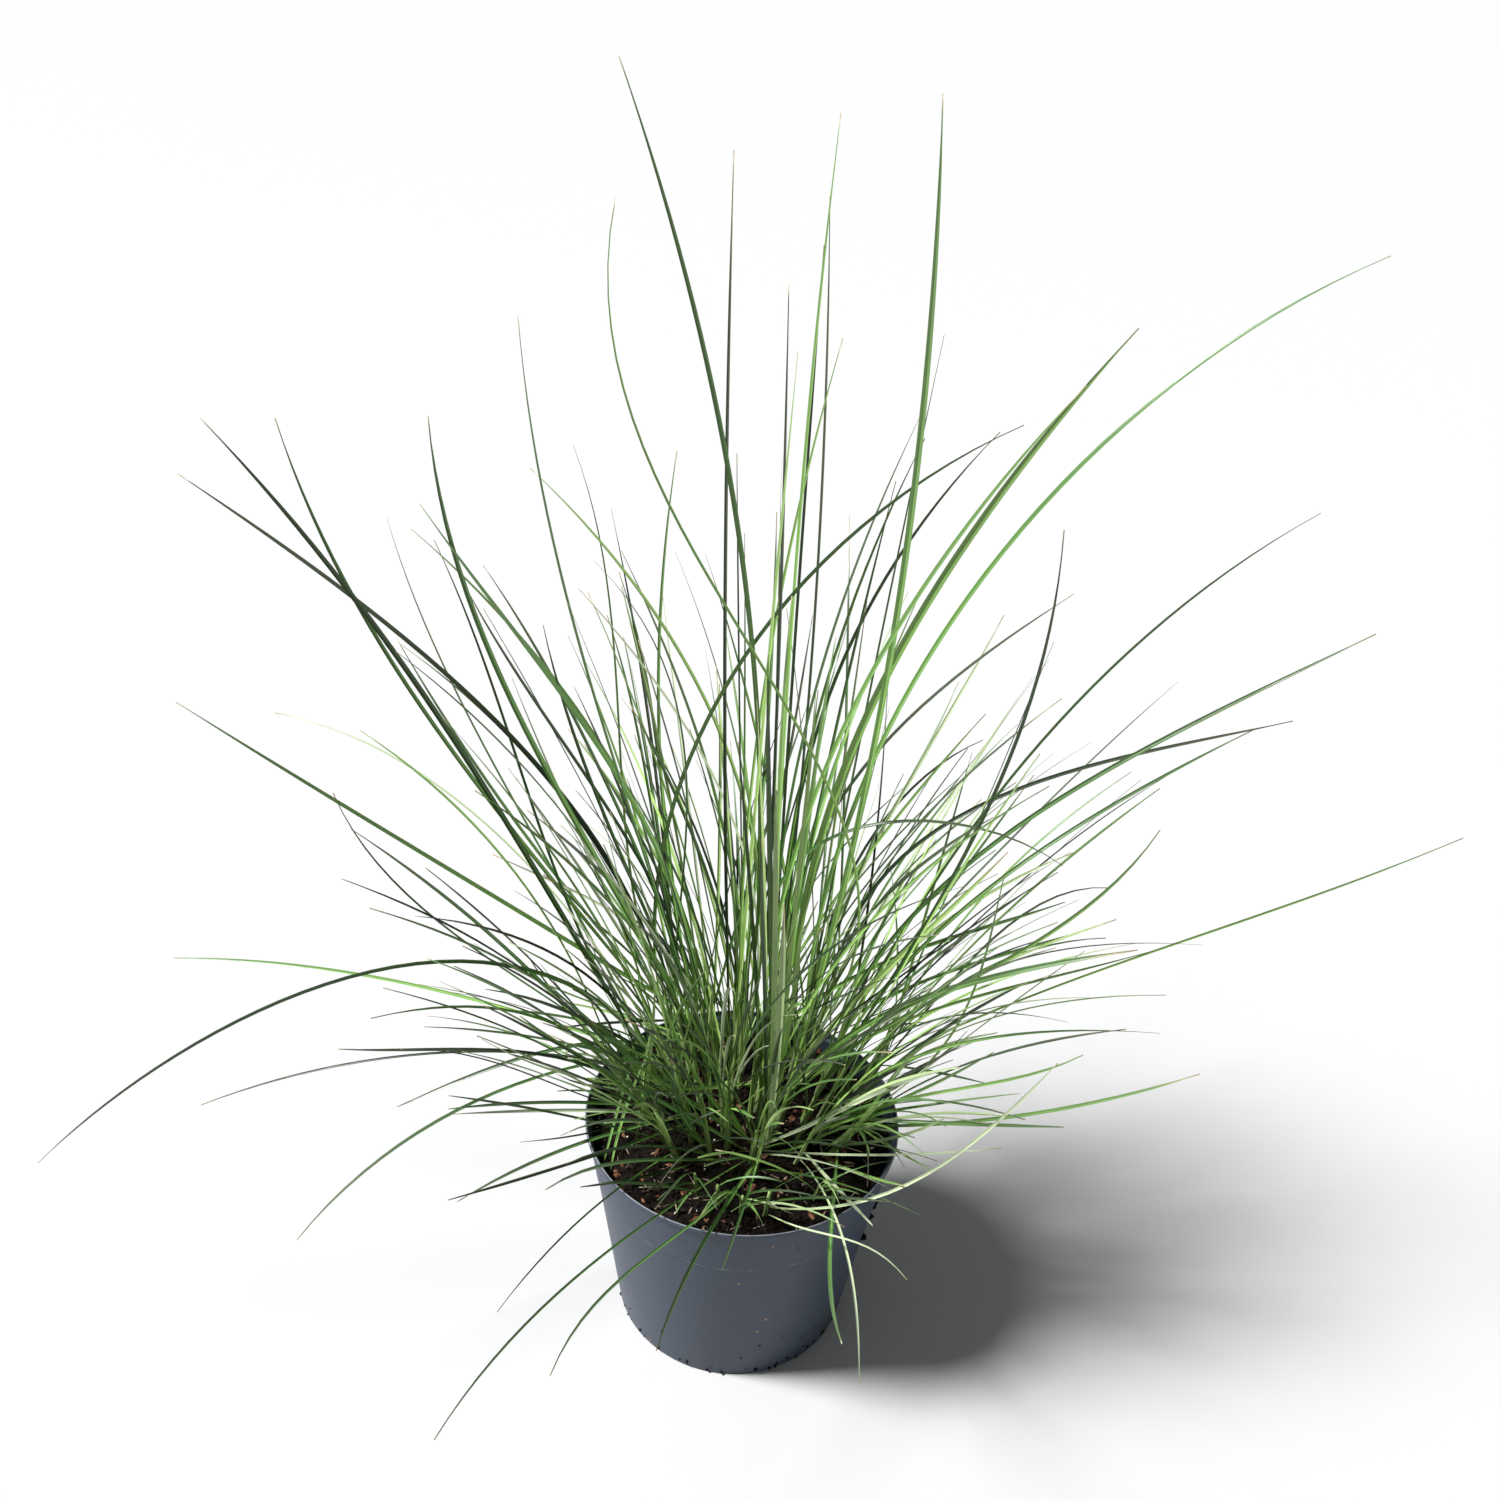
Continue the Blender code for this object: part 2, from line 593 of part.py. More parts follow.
def make_pot():
    """The pot: a tapered wall, a slightly wider band under a rounded rim, and a floor with drain holes."""
    band = POT_HEIGHT - BAND_HEIGHT
    lip = POT_HEIGHT - RIM_BEAD_HEIGHT
    profile = [
        (0, 0),
        (FOOT_RADIUS - FOOT_CHAMFER, 0),
        (FOOT_RADIUS - 0.0008, FOOT_CHAMFER * 0.4),
        (wall_radius(FOOT_CHAMFER * 1.4), FOOT_CHAMFER * 1.4),
        (wall_radius(band), band),
        (wall_radius(band) + BAND_STEP, band + 0.0012),
        (wall_radius(lip) + BAND_STEP, lip),
        (RIM_RADIUS, lip + 0.0010),
        (RIM_RADIUS, POT_HEIGHT - 0.0008),
        (RIM_RADIUS - 0.0008, POT_HEIGHT),
        (RIM_RADIUS - RIM_BEAD - BAND_STEP - WALL + 0.0004, POT_HEIGHT),
        (wall_radius(POT_HEIGHT - 0.001) - WALL, POT_HEIGHT - 0.0008),
        (wall_radius(FLOOR_THICKNESS) - WALL, FLOOR_THICKNESS),
        (0, FLOOR_THICKNESS),
    ]
    pot = turned("pot", profile, ROUND_SIDES)
    drills = []
    for i in range(DRAIN_COUNT):
        angle = DRAIN_TURN + 2 * math.pi * i / DRAIN_COUNT
        centre = Vector((math.cos(angle), math.sin(angle), 0)) * DRAIN_CIRCLE
        rings = []
        for z in (-0.01, FLOOR_THICKNESS + 0.01):
            middle = centre + Vector((0, 0, z))
            rings.append(ring(middle, Vector((1, 0, 0)), Vector((0, 1, 0)), DRAIN_RADIUS, 12))
        drills.append(add_object(f"drill_{i}", *tube(rings)))
    return fuse(pot, drills, "DIFFERENCE")


def stem_rings(shoot, room=0.0):
    """The rings of a shoot's stem, or of the socket that leaves that much room round its foot."""
    axis = (shoot.top - shoot.foot).normalized()
    across = axis.orthogonal().normalized()
    over = axis.cross(across)
    rings = []
    for share, thick in ((0.0, 1.0), (1.0, 0.5)):
        centre = shoot.foot.lerp(shoot.top, share)
        if share == 0.0:
            centre = centre - axis * room
        rings.append(ring(centre, across, over, shoot.radius * thick + room * 1.3, SHOOT_SIDES))
    return rings


def make_soil(shoots):
    """The soil: a plug that fills the pot, with a lumpy top and a socket for each shoot."""
    bottom = FLOOR_THICKNESS + PLAY
    edge = POT_HEIGHT - SOIL_EDGE_BELOW_RIM
    low = wall_radius(bottom) - WALL - PLAY
    high = wall_radius(edge - 0.002) - WALL - PLAY
    across = Vector((1, 0, 0))
    over = Vector((0, 1, 0))
    rings = [ring(Vector((0, 0, bottom)), across, over, low, SOIL_SIDES)]
    rings.append(ring(Vector((0, 0, edge - 0.002)), across, over, high, SOIL_SIDES))
    for k in range(SOIL_RINGS):
        radius = (high - 0.0015) * math.sqrt(1 - k / SOIL_RINGS)
        circle = ring(Vector(), across, over, radius, SOIL_SIDES, math.pi / SOIL_SIDES * (k % 2))
        rings.append([Vector((p.x, p.y, soil_height(p.x, p.y))) for p in circle])
    top = Vector((0, 0, soil_height(0, 0)))
    soil = add_object("soil", *tube(rings, Vector((0, 0, bottom)), top))
    sockets = []
    for i, shoot in enumerate(shoots):
        sockets.append(add_object(f"socket_{i}", *tube(stem_rings(shoot, PLAY))))
    return fuse(soil, sockets, "DIFFERENCE")


def leaf_object(name, leaf):
    """A narrow leaf: flat above, keeled below, drawn out to a point."""
    path = leaf.path
    steps = steps_of(path)
    out = (path[-1] - path[0]).xy
    side = Vector((-out.y, out.x, 0.0)).normalized()
    rings = []
    for i in range(steps):
        t = i / steps
        point = along(path, t)
        forward = (along(path, t + 0.02) - along(path, t - 0.02)).normalized()
        across = (side - forward * side.dot(forward)).normalized()
        above = forward.cross(across)
        half = leaf_width(leaf.width, t) / 2
        keel = half * 2 * LEAF_KEEL
        rings.append([point + across * half, point - above * keel, point - across * half])
    return add_object(name, *tube(rings, None, path[-1]))


def make_shoot(name, shoot, leaves):
    """A stem with its leaves, all one body."""
    stem = add_object(name, *tube(stem_rings(shoot)))
    blades = [leaf_object(f"{name}_leaf_{i}", leaf) for i, leaf in enumerate(leaves)]
    return fuse(stem, blades, "UNION")


for old in list(bpy.data.objects):
    bpy.data.objects.remove(old)

plastic = plain_material("pot_plastic", (0.075, 0.085, 0.100), 0.5)
peat = plain_material("potting_soil", (0.030, 0.020, 0.014), 0.95)
leaf_green = plain_material("leaf_green", (0.120, 0.230, 0.060), 0.45)

all_shoots, all_leaves = grow()
finish_object(make_pot(), plastic, math.radians(35))
finish_object(make_soil(all_shoots), peat)
for number, one in enumerate(all_shoots):
    own_leaves = [leaf for leaf in all_leaves if leaf.shoot == number]
    finish_object(make_shoot(f"shoot_{number + 1:02d}", one, own_leaves), leaf_green)
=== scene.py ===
# %% [markdown]
# # A potted miscanthus grass
# This lesson dresses a plain CAD model of a grass in its nursery pot. The CAD model gives every piece its
# place and size. Here each piece gets the finish and the fine form that the eye expects: folded leaf blades
# with pale midribs, damp peat with bark in it, and a dull moulded pot.

# %% Load the CAD frame
import math
import random
from collections import namedtuple

import bmesh
import bpy
import numpy as np
from mathutils import Matrix, Vector, noise


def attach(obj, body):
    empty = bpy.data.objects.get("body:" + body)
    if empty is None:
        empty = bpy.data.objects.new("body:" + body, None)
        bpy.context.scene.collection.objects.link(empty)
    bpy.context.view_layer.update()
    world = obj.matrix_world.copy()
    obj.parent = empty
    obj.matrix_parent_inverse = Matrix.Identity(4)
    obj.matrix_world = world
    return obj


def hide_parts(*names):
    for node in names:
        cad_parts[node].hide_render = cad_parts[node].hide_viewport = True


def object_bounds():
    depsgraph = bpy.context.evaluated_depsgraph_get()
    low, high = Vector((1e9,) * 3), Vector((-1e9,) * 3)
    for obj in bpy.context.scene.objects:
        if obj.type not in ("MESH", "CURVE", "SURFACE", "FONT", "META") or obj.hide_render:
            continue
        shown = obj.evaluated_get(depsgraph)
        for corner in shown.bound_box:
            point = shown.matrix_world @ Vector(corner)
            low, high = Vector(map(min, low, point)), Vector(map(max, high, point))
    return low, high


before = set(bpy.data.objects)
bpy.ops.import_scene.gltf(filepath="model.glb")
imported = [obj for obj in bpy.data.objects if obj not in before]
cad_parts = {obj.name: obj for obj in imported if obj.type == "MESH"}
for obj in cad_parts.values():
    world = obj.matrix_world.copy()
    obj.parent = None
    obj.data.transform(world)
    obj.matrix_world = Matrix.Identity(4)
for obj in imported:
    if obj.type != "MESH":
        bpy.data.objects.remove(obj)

cad_box = [list(corner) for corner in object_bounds()]
shoot_nodes = sorted(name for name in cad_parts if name.startswith("shoot"))
print("CAD box", cad_box, "with", len(shoot_nodes), "shoots")

# %% [markdown]
# ## The view
# A picture shows each leaf's tip and bends as pixels. If the eye's place, its tilt and its angle of view
# are known, a pixel becomes a ray, and a depth along the ray makes it a point in the air. The same numbers
# later place the camera, so the leaves fall where the picture has them.

# %% The eye, and pixels to points
# Where the plant was looked at from, so that a place in the picture is a place in the air
EYE = Vector((-0.0123, -0.8163, 0.9658))
LOOK_DOWN = math.radians(30.35)
HEAD_TILT = math.radians(-3.84)
FOCAL_PX = 1500.0
MIDDLE_PX = 750.0

def look_frame():
    """The rightward, upward and forward directions of the look at the plant."""
    right = Vector((1.0, 0.0, 0.0))
    forward = Vector((0.0, math.cos(LOOK_DOWN), -math.sin(LOOK_DOWN)))
    return right, right.cross(forward), forward


def picture_ray(pixel):
    """The way from the eye that a pixel of the picture shows."""
    right, up, forward = look_frame()
    x = (pixel[0] - MIDDLE_PX) / FOCAL_PX
    y = (MIDDLE_PX - pixel[1]) / FOCAL_PX
    across = math.cos(HEAD_TILT) * x + math.sin(HEAD_TILT) * y
    above = math.cos(HEAD_TILT) * y - math.sin(HEAD_TILT) * x
    return forward + right * across + up * above


def at_depth(pixel, y):
    """The point that shows at a pixel and lies y behind the pot's axis."""
    ray = picture_ray(pixel)
    return EYE + ray * ((y - EYE.y) / ray.y)


def at_height(pixel, z):
    """The point that shows at a pixel and lies at height z."""
    ray = picture_ray(pixel)
    return EYE + ray * ((z - EYE.z) / ray.z)


def pixel_of(point):
    """Where a point shows in the picture."""
    right, up, forward = look_frame()
    way = point - EYE
    across = way.dot(right) / way.dot(forward) * FOCAL_PX
    above = way.dot(up) / way.dot(forward) * FOCAL_PX
    x = math.cos(HEAD_TILT) * across - math.sin(HEAD_TILT) * above
    y = math.sin(HEAD_TILT) * across + math.cos(HEAD_TILT) * above
    return Vector((MIDDLE_PX + x, MIDDLE_PX - y))
print("the pot's foot shows at", [round(c) for c in pixel_of(Vector((0, 0, 0)))])

# %% [markdown]
# ## The sizes of the pot, the soil and the crown
# The leaves are laid out again exactly as the CAD model has them, so its sizes are repeated here under the
# same names. The crown is the patch of soil from which all the shoots rise.

# %% Sizes of the pot and the soil
# The pot
POT_HEIGHT = 0.179
RIM_RADIUS = 0.115
FOOT_RADIUS = 0.087
WALL = 0.0016
RIM_BEAD = 0.0012
RIM_BEAD_HEIGHT = 0.004
BAND_HEIGHT = 0.044
BAND_STEP = 0.0008
FOOT_CHAMFER = 0.003
FLOOR_THICKNESS = 0.0025
DRAIN_COUNT = 6
DRAIN_RADIUS = 0.0055
DRAIN_CIRCLE = 0.066
DRAIN_TURN = 0.18
ROUND_SIDES = 40
# The soil
SOIL_EDGE_BELOW_RIM = 0.017
SOIL_MOUND = 0.006
SOIL_LUMP = 0.003
SOIL_LUMP_SIZE = 0.022
SOIL_RINGS = 4
SOIL_SIDES = 20
PLAY = 0.0003

def wall_radius(z):
    """The outside of the pot's plain wall at height z."""
    top = RIM_RADIUS - RIM_BEAD - BAND_STEP
    return FOOT_RADIUS + (top - FOOT_RADIUS) * z / POT_HEIGHT

def soil_height(x, y):
    """The lumpy top of the soil, which rises a little towards the crown."""
    edge = POT_HEIGHT - SOIL_EDGE_BELOW_RIM
    mound = SOIL_MOUND * max(0.0, 1.0 - (math.hypot(x, y) / RIM_RADIUS) ** 2)
    return edge + mound + SOIL_LUMP * noise.noise(Vector((x, y, 0.0)) / SOIL_LUMP_SIZE)
print("soil at the middle:", round(soil_height(0, 0), 4))

# %% Sizes of the crown and of the leaves
# The crown, where the shoots stand in the soil
CROWN_CENTRE = Vector((0.002, 0.012, 0.0))
CROWN_ACROSS = 0.074
CROWN_DEEP = 0.062
CROWN_SHOOTS = 43
FRONT_SHOOTS = (
    (0.003, -0.079),
    (-0.013, -0.074),
    (-0.027, -0.066),
    (0.019, -0.080),
    (0.052, -0.062),
)
SHOOT_BURIED = 0.009
SHOOT_SIDES = 5
SHOOT_LEAN = math.radians(24)
GOLDEN_ANGLE = math.pi * (3 - math.sqrt(5))
# The leaves
LEAF_KEEL = 0.28
LEAF_BASE_WIDTH = 0.6
LEAF_WIDEST_AT = 0.3
LEAF_TAPER = 1.7
LEAF_LEAST_STEPS = 3
LEAF_MOST_STEPS = 6
DEGREES_PER_STEP = 24
CLEARANCE = 0.0007
OVER_RIM = 0.0016
LEAVES_PER_SHOOT = 5
SEED = 11
# %% [markdown]
# ## The leaves that stand out
# About a hundred leaves can be told apart in the picture. Each is one line: the pixel of its tip, the
# pixels it passes on its way down, how far behind the pot's axis the tip is taken to be, and its width.
# Naming places this way keeps them easy to check against the picture.

# %% Leaves read from the picture
# A leaf that stands out: the pixels of its tip and of the points it passes on the way down, how far
# behind the pot's axis its tip is, its width, and the pixel of its foot where that shows
Seen = namedtuple("Seen", "tip passes back width foot", defaults=(None,))
Leaf = namedtuple("Leaf", "path width shoot")
Shoot = namedtuple("Shoot", "foot top radius")

SEEN_LEAVES = (
    # Upright, at the top of the plant
    Seen((619, 56), ((667, 207), (739, 537)), 0.05, 0.0038),
    Seen((616, 196), ((609, 305), (699, 560)), -0.05, 0.0034),
    Seen((734, 150), ((728, 390),), 0.12, 0.0028),
    Seen((841, 113), ((828, 226), (790, 660)), 0.10, 0.0050),
    Seen((830, 196), ((824, 454),), 0.20, 0.0028),
    Seen((824, 245), ((811, 410),), 0.15, 0.0030),
    Seen((789, 284), ((786, 420),), 0.05, 0.0026),
    Seen((798, 352), ((788, 460),), -0.02, 0.0034),
    Seen((843, 338), ((800, 504),), 0.10, 0.0026),
    Seen((943, 93), ((936, 256), (900, 600)), 0.00, 0.0050),
    Seen((944, 335), ((915, 470),), 0.08, 0.0028),
    Seen((921, 415), ((878, 511),), 0.10, 0.0036),
    Seen((925, 438), ((884, 524),), 0.20, 0.0028),
    Seen((1024, 425), ((934, 473), (745, 655)), 0.06, 0.0034, (690, 1085)),
    Seen((1000, 432), ((916, 531),), 0.22, 0.0034),
    Seen((518, 315), ((545, 500), (600, 712)), 0.00, 0.0030),
    Seen((530, 468), ((613, 557), (700, 690)), 0.15, 0.0030),
    Seen((573, 445), ((603, 560), (616, 689)), 0.20, 0.0030),
    Seen((677, 451), ((664, 560),), 0.20, 0.0028),
    Seen((621, 550), ((653, 618), (706, 760)), 0.22, 0.0030),
    Seen((619, 572), ((646, 678), (665, 818)), 0.18, 0.0030),
    Seen((607, 615), ((628, 689), (648, 790)), 0.20, 0.0028),
    Seen((579, 589), ((644, 666), (724, 797)), 0.15, 0.0026),
    Seen((594, 561), ((665, 669), (686, 800)), 0.02, 0.0030, (677, 1095)),
    Seen((925, 583), ((905, 627),), 0.20, 0.0026),
    Seen((867, 600), ((850, 717),), 0.20, 0.0026),
    # To the right
    Seen((1139, 328), ((1043, 439), (900, 650)), 0.00, 0.0058),
    Seen((1087, 385), ((990, 497),), -0.04, 0.0040),
    Seen((1391, 256), ((1270, 318), (1004, 552)), 0.05, 0.0042),
    Seen((1074, 594), ((992, 650), (900, 728)), 0.22, 0.0036),
    Seen((1004, 615), ((958, 698), (919, 765)), 0.22, 0.0030),
    Seen((959, 681), ((942, 719), (917, 767)), 0.20, 0.0030),
    Seen((1064, 530), ((1038, 675), (939, 901)), -0.08, 0.0046),
    Seen((1321, 513), ((1185, 603), (1000, 790)), 0.10, 0.0034),
    Seen((1376, 634), ((1242, 699), (1034, 815)), 0.00, 0.0036),
    Seen((1253, 730), ((1171, 772), (1070, 831)), 0.05, 0.0032),
    Seen((1293, 721), ((1150, 751), (988, 802)), 0.10, 0.0034),
    Seen((1178, 682), ((1080, 772), (978, 874)), 0.15, 0.0032),
    Seen((992, 736), ((974, 760), (926, 818)), 0.20, 0.0028),
    Seen((983, 740), ((949, 758), (910, 790)), 0.22, 0.0028),
    Seen((1034, 775), ((1006, 813),), 0.20, 0.0026),
    Seen((1058, 872), ((989, 915), (909, 970)), 0.00, 0.0028),
    Seen((1063, 866), ((990, 832), (905, 822)), -0.02, 0.0044),
    Seen((1160, 830), ((1070, 919), (932, 1000)), -0.06, 0.0056),
    Seen((1111, 888), ((1047, 901), (992, 940)), 0.12, 0.0026),
    Seen((1065, 902), ((1001, 922), (893, 958)), 0.10, 0.0042),
    Seen((1463, 838), ((1343, 885), (1153, 951)), 0.00, 0.0038),
    Seen((1138, 950), ((1047, 965), (932, 995)), -0.04, 0.0050),
    Seen((1152, 951), ((1070, 972), (943, 1006)), 0.00, 0.0034),
    Seen((1083, 931), ((1014, 951), (932, 977)), 0.04, 0.0040),
    Seen((1106, 938), ((1035, 949),), 0.08, 0.0032),
    Seen((1083, 1055), ((1024, 1076), (918, 1096)), -0.08, 0.0046),
    Seen((1004, 876), ((987, 949), (932, 1059)), -0.06, 0.0032, (880, 1115)),
    Seen((994, 1052), ((955, 1073),), -0.05, 0.0030),
    Seen((966, 1042), ((925, 1066),), -0.03, 0.0028),
    Seen((967, 1031), ((936, 1059),), 0.00, 0.0028),
    Seen((1200, 1074), ((1077, 1106),), -0.08, 0.0052),
    Seen((1064, 1127), ((1006, 1125),), -0.06, 0.0038),
    # To the left
    Seen((38, 1163), ((218, 1030), (451, 960)), -0.06, 0.0048),
    Seen((201, 1105), ((331, 1067), (519, 1052)), -0.02, 0.0038),
    Seen((297, 1240), ((444, 1118), (603, 1062)), -0.10, 0.0042, (712, 1065)),
    Seen((338, 1049), ((478, 1049), (584, 1064)), -0.04, 0.0034),
    Seen((400, 1049), ((488, 1060), (560, 1086)), -0.06, 0.0028),
    Seen((482, 1039), ((555, 1070), (650, 1087)), -0.03, 0.0034, (745, 1098)),
    Seen((397, 1107), ((497, 1066), (593, 1043)), -0.03, 0.0036),
    Seen((448, 1109), ((519, 1103),), -0.06, 0.0032),
    Seen((448, 1200), ((538, 1173),), -0.11, 0.0032),
    Seen((457, 1202), ((538, 1160),), -0.09, 0.0034),
    Seen((174, 958), ((368, 976),), 0.10, 0.0032),
    Seen((485, 989), ((564, 1010), (631, 1043)), 0.02, 0.0034),
    Seen((474, 943), ((547, 984), (606, 1007)), 0.05, 0.0026),
    Seen((526, 953), ((547, 984),), 0.05, 0.0026),
    Seen((540, 963), ((559, 987),), 0.03, 0.0026),
    Seen((557, 1028), ((593, 1024),), 0.00, 0.0026),
    Seen((492, 854), ((555, 882), (641, 930)), 0.10, 0.0030),
    Seen((176, 702), ((440, 863), (640, 984)), 0.03, 0.0040, (745, 1060)),
    Seen((275, 713), ((419, 773), (547, 886)), 0.15, 0.0036),
    Seen((333, 793), ((402, 890), (536, 991)), 0.04, 0.0034),
    Seen((178, 474), ((302, 560), (503, 729)), 0.10, 0.0040),
    Seen((200, 418), ((324, 560), (503, 817)), 0.04, 0.0044),
    Seen((275, 418), ((309, 508), (430, 720)), 0.12, 0.0036),
    Seen((428, 416), ((476, 618), (559, 792)), 0.08, 0.0044),
    Seen((434, 540), ((472, 630), (520, 770)), 0.18, 0.0028),
    Seen((462, 580), ((518, 675), (587, 777)), 0.12, 0.0028),
    Seen((543, 625), ((564, 705), (605, 818)), 0.10, 0.0032),
    Seen((512, 678), ((554, 779),), 0.22, 0.0026),
    Seen((397, 639), ((449, 724), (528, 838)), 0.16, 0.0030),
    Seen((420, 504), ((504, 616), (612, 765)), 0.10, 0.0048),
    Seen((411, 529), ((509, 625), (600, 745)), 0.16, 0.0036),
    Seen((387, 518), ((433, 641), (479, 735)), 0.20, 0.0028),
    Seen((483, 565), ((541, 657), (600, 770)), 0.22, 0.0030),
    # Over the front of the pot
    Seen((434, 1440), ((560, 1291), (656, 1216)), -0.21, 0.0036, (723, 1167)),
    Seen((550, 1376), ((600, 1299), (676, 1236)), -0.19, 0.0042, (740, 1190)),
    Seen((497, 1312), ((587, 1213),), -0.15, 0.0036, (700, 1160)),
    Seen((656, 1351), ((691, 1264),), -0.16, 0.0042, (727, 1178)),
    Seen((842, 1344), ((830, 1277), (832, 1215)), -0.16, 0.0038, (812, 1175)),
    Seen((859, 1383), ((855, 1301), (838, 1225)), -0.19, 0.0036, (796, 1190)),
    Seen((907, 1280), ((868, 1248), (800, 1228)), -0.15, 0.0036, (748, 1205)),
    Seen((722, 1270), ((730, 1246),), -0.15, 0.0032, (748, 1205)),
    Seen((1058, 1063), ((1004, 1116), (855, 1203)), -0.11, 0.0044, (748, 1205)),
    Seen((1002, 1148), ((814, 1154),), -0.08, 0.0036, (729, 1180)),
    Seen((873, 1226), ((838, 1189),), -0.12, 0.0030, (812, 1175)),
)
print(len(SEEN_LEAVES), "leaves are read from the picture")

# %% [markdown]
# ## Where the shoots stand
# A grass crown is packed evenly but not in rows. The golden angle, which spaces a sunflower's seeds, gives
# such a pattern. Each shoot leans away from the middle, the outer ones more.

# %% Shoots
def lean_towards(azimuth, lean):
    """The direction that leans from upright by lean, towards azimuth."""
    return Vector((math.cos(azimuth) * math.sin(lean), math.sin(azimuth) * math.sin(lean), math.cos(lean)))


def shoot_places():
    """Even, slightly uneven spacing over the crown, as a sunflower's seeds lie, and the few at the front."""
    draw = random.Random(SEED)
    places = []
    for i in range(CROWN_SHOOTS):
        share = math.sqrt((i + 0.5) / CROWN_SHOOTS)
        turn = i * GOLDEN_ANGLE + draw.uniform(-0.12, 0.12)
        x = CROWN_CENTRE.x + CROWN_ACROSS * share * math.cos(turn)
        y = CROWN_CENTRE.y + CROWN_DEEP * share * math.sin(turn)
        places.append((x, y))
    return places + list(FRONT_SHOOTS)


def lay_out_shoots():
    """Each shoot leans away from the crown's middle, the outer ones more."""
    draw = random.Random(SEED + 1)
    shoots = []
    for x, y in shoot_places():
        out_x = (x - CROWN_CENTRE.x) / CROWN_ACROSS
        out_y = (y - CROWN_CENTRE.y) / CROWN_DEEP
        lean = SHOOT_LEAN * min(1.1, math.hypot(out_x, out_y)) + math.radians(draw.uniform(-3, 3))
        length = draw.uniform(0.050, 0.105)
        radius = draw.uniform(0.0028, 0.0042)
        if (x, y) in FRONT_SHOOTS:
            lean *= 0.6
            length *= 0.45
            radius *= 0.75
        foot = Vector((x, y, soil_height(x, y) - SHOOT_BURIED))
        shoots.append(Shoot(foot, foot + lean_towards(math.atan2(out_y, out_x), lean) * length, radius))
    return shoots

# %% [markdown]
# ## The midline of a leaf
# A leaf's midline is one smooth curve through three or four points, found with Lagrange's formula. A
# Bezier curve would do as well, but it doesn't pass through its handles, and these points must be passed.

# %% Midlines and widths
def knots_of(path):
    """The share of the way that each point of a path stands at."""
    lengths = [0.0]
    for a, b in zip(path, path[1:]):
        lengths.append(lengths[-1] + (b - a).length)
    return [length / lengths[-1] for length in lengths]


def along(path, t):
    """The point a share t along the one smooth curve through a path's three or four points."""
    knots = knots_of(path)
    point = Vector()
    for i, place in enumerate(path):
        weight = 1.0
        for j, knot in enumerate(knots):
            if j != i:
                weight *= (t - knot) / (knots[i] - knot)
        point += place * weight
    return point


def leaf_width(width, t):
    """Narrow where it leaves the shoot, widest a third of the way up, and drawn out to the tip."""
    swell = LEAF_BASE_WIDTH + (1 - LEAF_BASE_WIDTH) * min(1.0, t / LEAF_WIDEST_AT)
    taper = 1.0 - max(0.0, (t - LEAF_WIDEST_AT) / (1 - LEAF_WIDEST_AT)) ** LEAF_TAPER
    return width * swell * taper


def turn_of(path):
    """How many degrees a leaf turns from its start to its tip."""
    line = [along(path, i / 8) for i in range(9)]
    return sum(math.degrees((b - a).angle(c - b, 0.0)) for a, b, c in zip(line, line[1:], line[2:]))


def steps_of(path):
    """More steps along a leaf that turns more."""
    return max(LEAF_LEAST_STEPS, min(LEAF_MOST_STEPS, 2 + round(turn_of(path) / DEGREES_PER_STEP)))

# %% [markdown]
# ## Leaves that keep clear of each other
# Every leaf is a few straight stretches. Before one is kept, its distance to all the others is measured,
# and to the pot and the soil. A leaf from the picture that touches another slides along its line of sight,
# which leaves its place in the picture alone.

# %% Room for a leaf
def stretches_of(leaf):
    """(ends, half widths) of the straight stretches between the leaf's steps."""
    steps = steps_of(leaf.path)
    line = np.array([along(leaf.path, i / steps) for i in range(steps + 1)])
    half = np.array([leaf_width(leaf.width, (i + 0.35) / steps) / 2 for i in range(steps)])
    return np.stack([line[:-1], line[1:]], axis=1), half


def closest(first, second):
    """The least distance between each pair of straight stretches."""
    d1 = (first[:, 1] - first[:, 0])[:, None]
    d2 = (second[:, 1] - second[:, 0])[None]
    r = first[:, 0][:, None] - second[:, 0][None]
    a = (d1 * d1).sum(-1)
    e = (d2 * d2).sum(-1)
    b = (d1 * d2).sum(-1)
    c = (d1 * r).sum(-1)
    f = (d2 * r).sum(-1)
    s = np.clip((b * f - c * e) / np.maximum(a * e - b * b, 1e-14), 0, 1)
    t = np.clip((b * s + f) / e, 0, 1)
    s = np.clip((b * t - c) / a, 0, 1)
    return np.linalg.norm(r + s[..., None] * d1 - t[..., None] * d2, axis=-1)


def room_over_pot(leaf):
    """How far a leaf stays above the soil and clear of the pot's wall and rim."""
    steps = steps_of(leaf.path)
    corners = [along(leaf.path, i / steps) for i in range(steps + 1)]
    room = 1.0
    for a, b in zip(corners, corners[1:]):
        for k in range(9):
            point = a.lerp(b, k / 8)
            radius = math.hypot(point.x, point.y)
            if radius > RIM_RADIUS + 0.003:
                wall = radius - RIM_RADIUS - 0.002 if point.z < POT_HEIGHT else 1.0
                room = min(room, max(wall, point.z - POT_HEIGHT), point.z - 0.008)
            elif radius > RIM_RADIUS - 0.008:
                room = min(room, point.z - POT_HEIGHT - OVER_RIM - leaf.width / 2)
            else:
                room = min(room, point.z - soil_height(point.x, point.y) - leaf.width / 2 - 0.001)
    return room


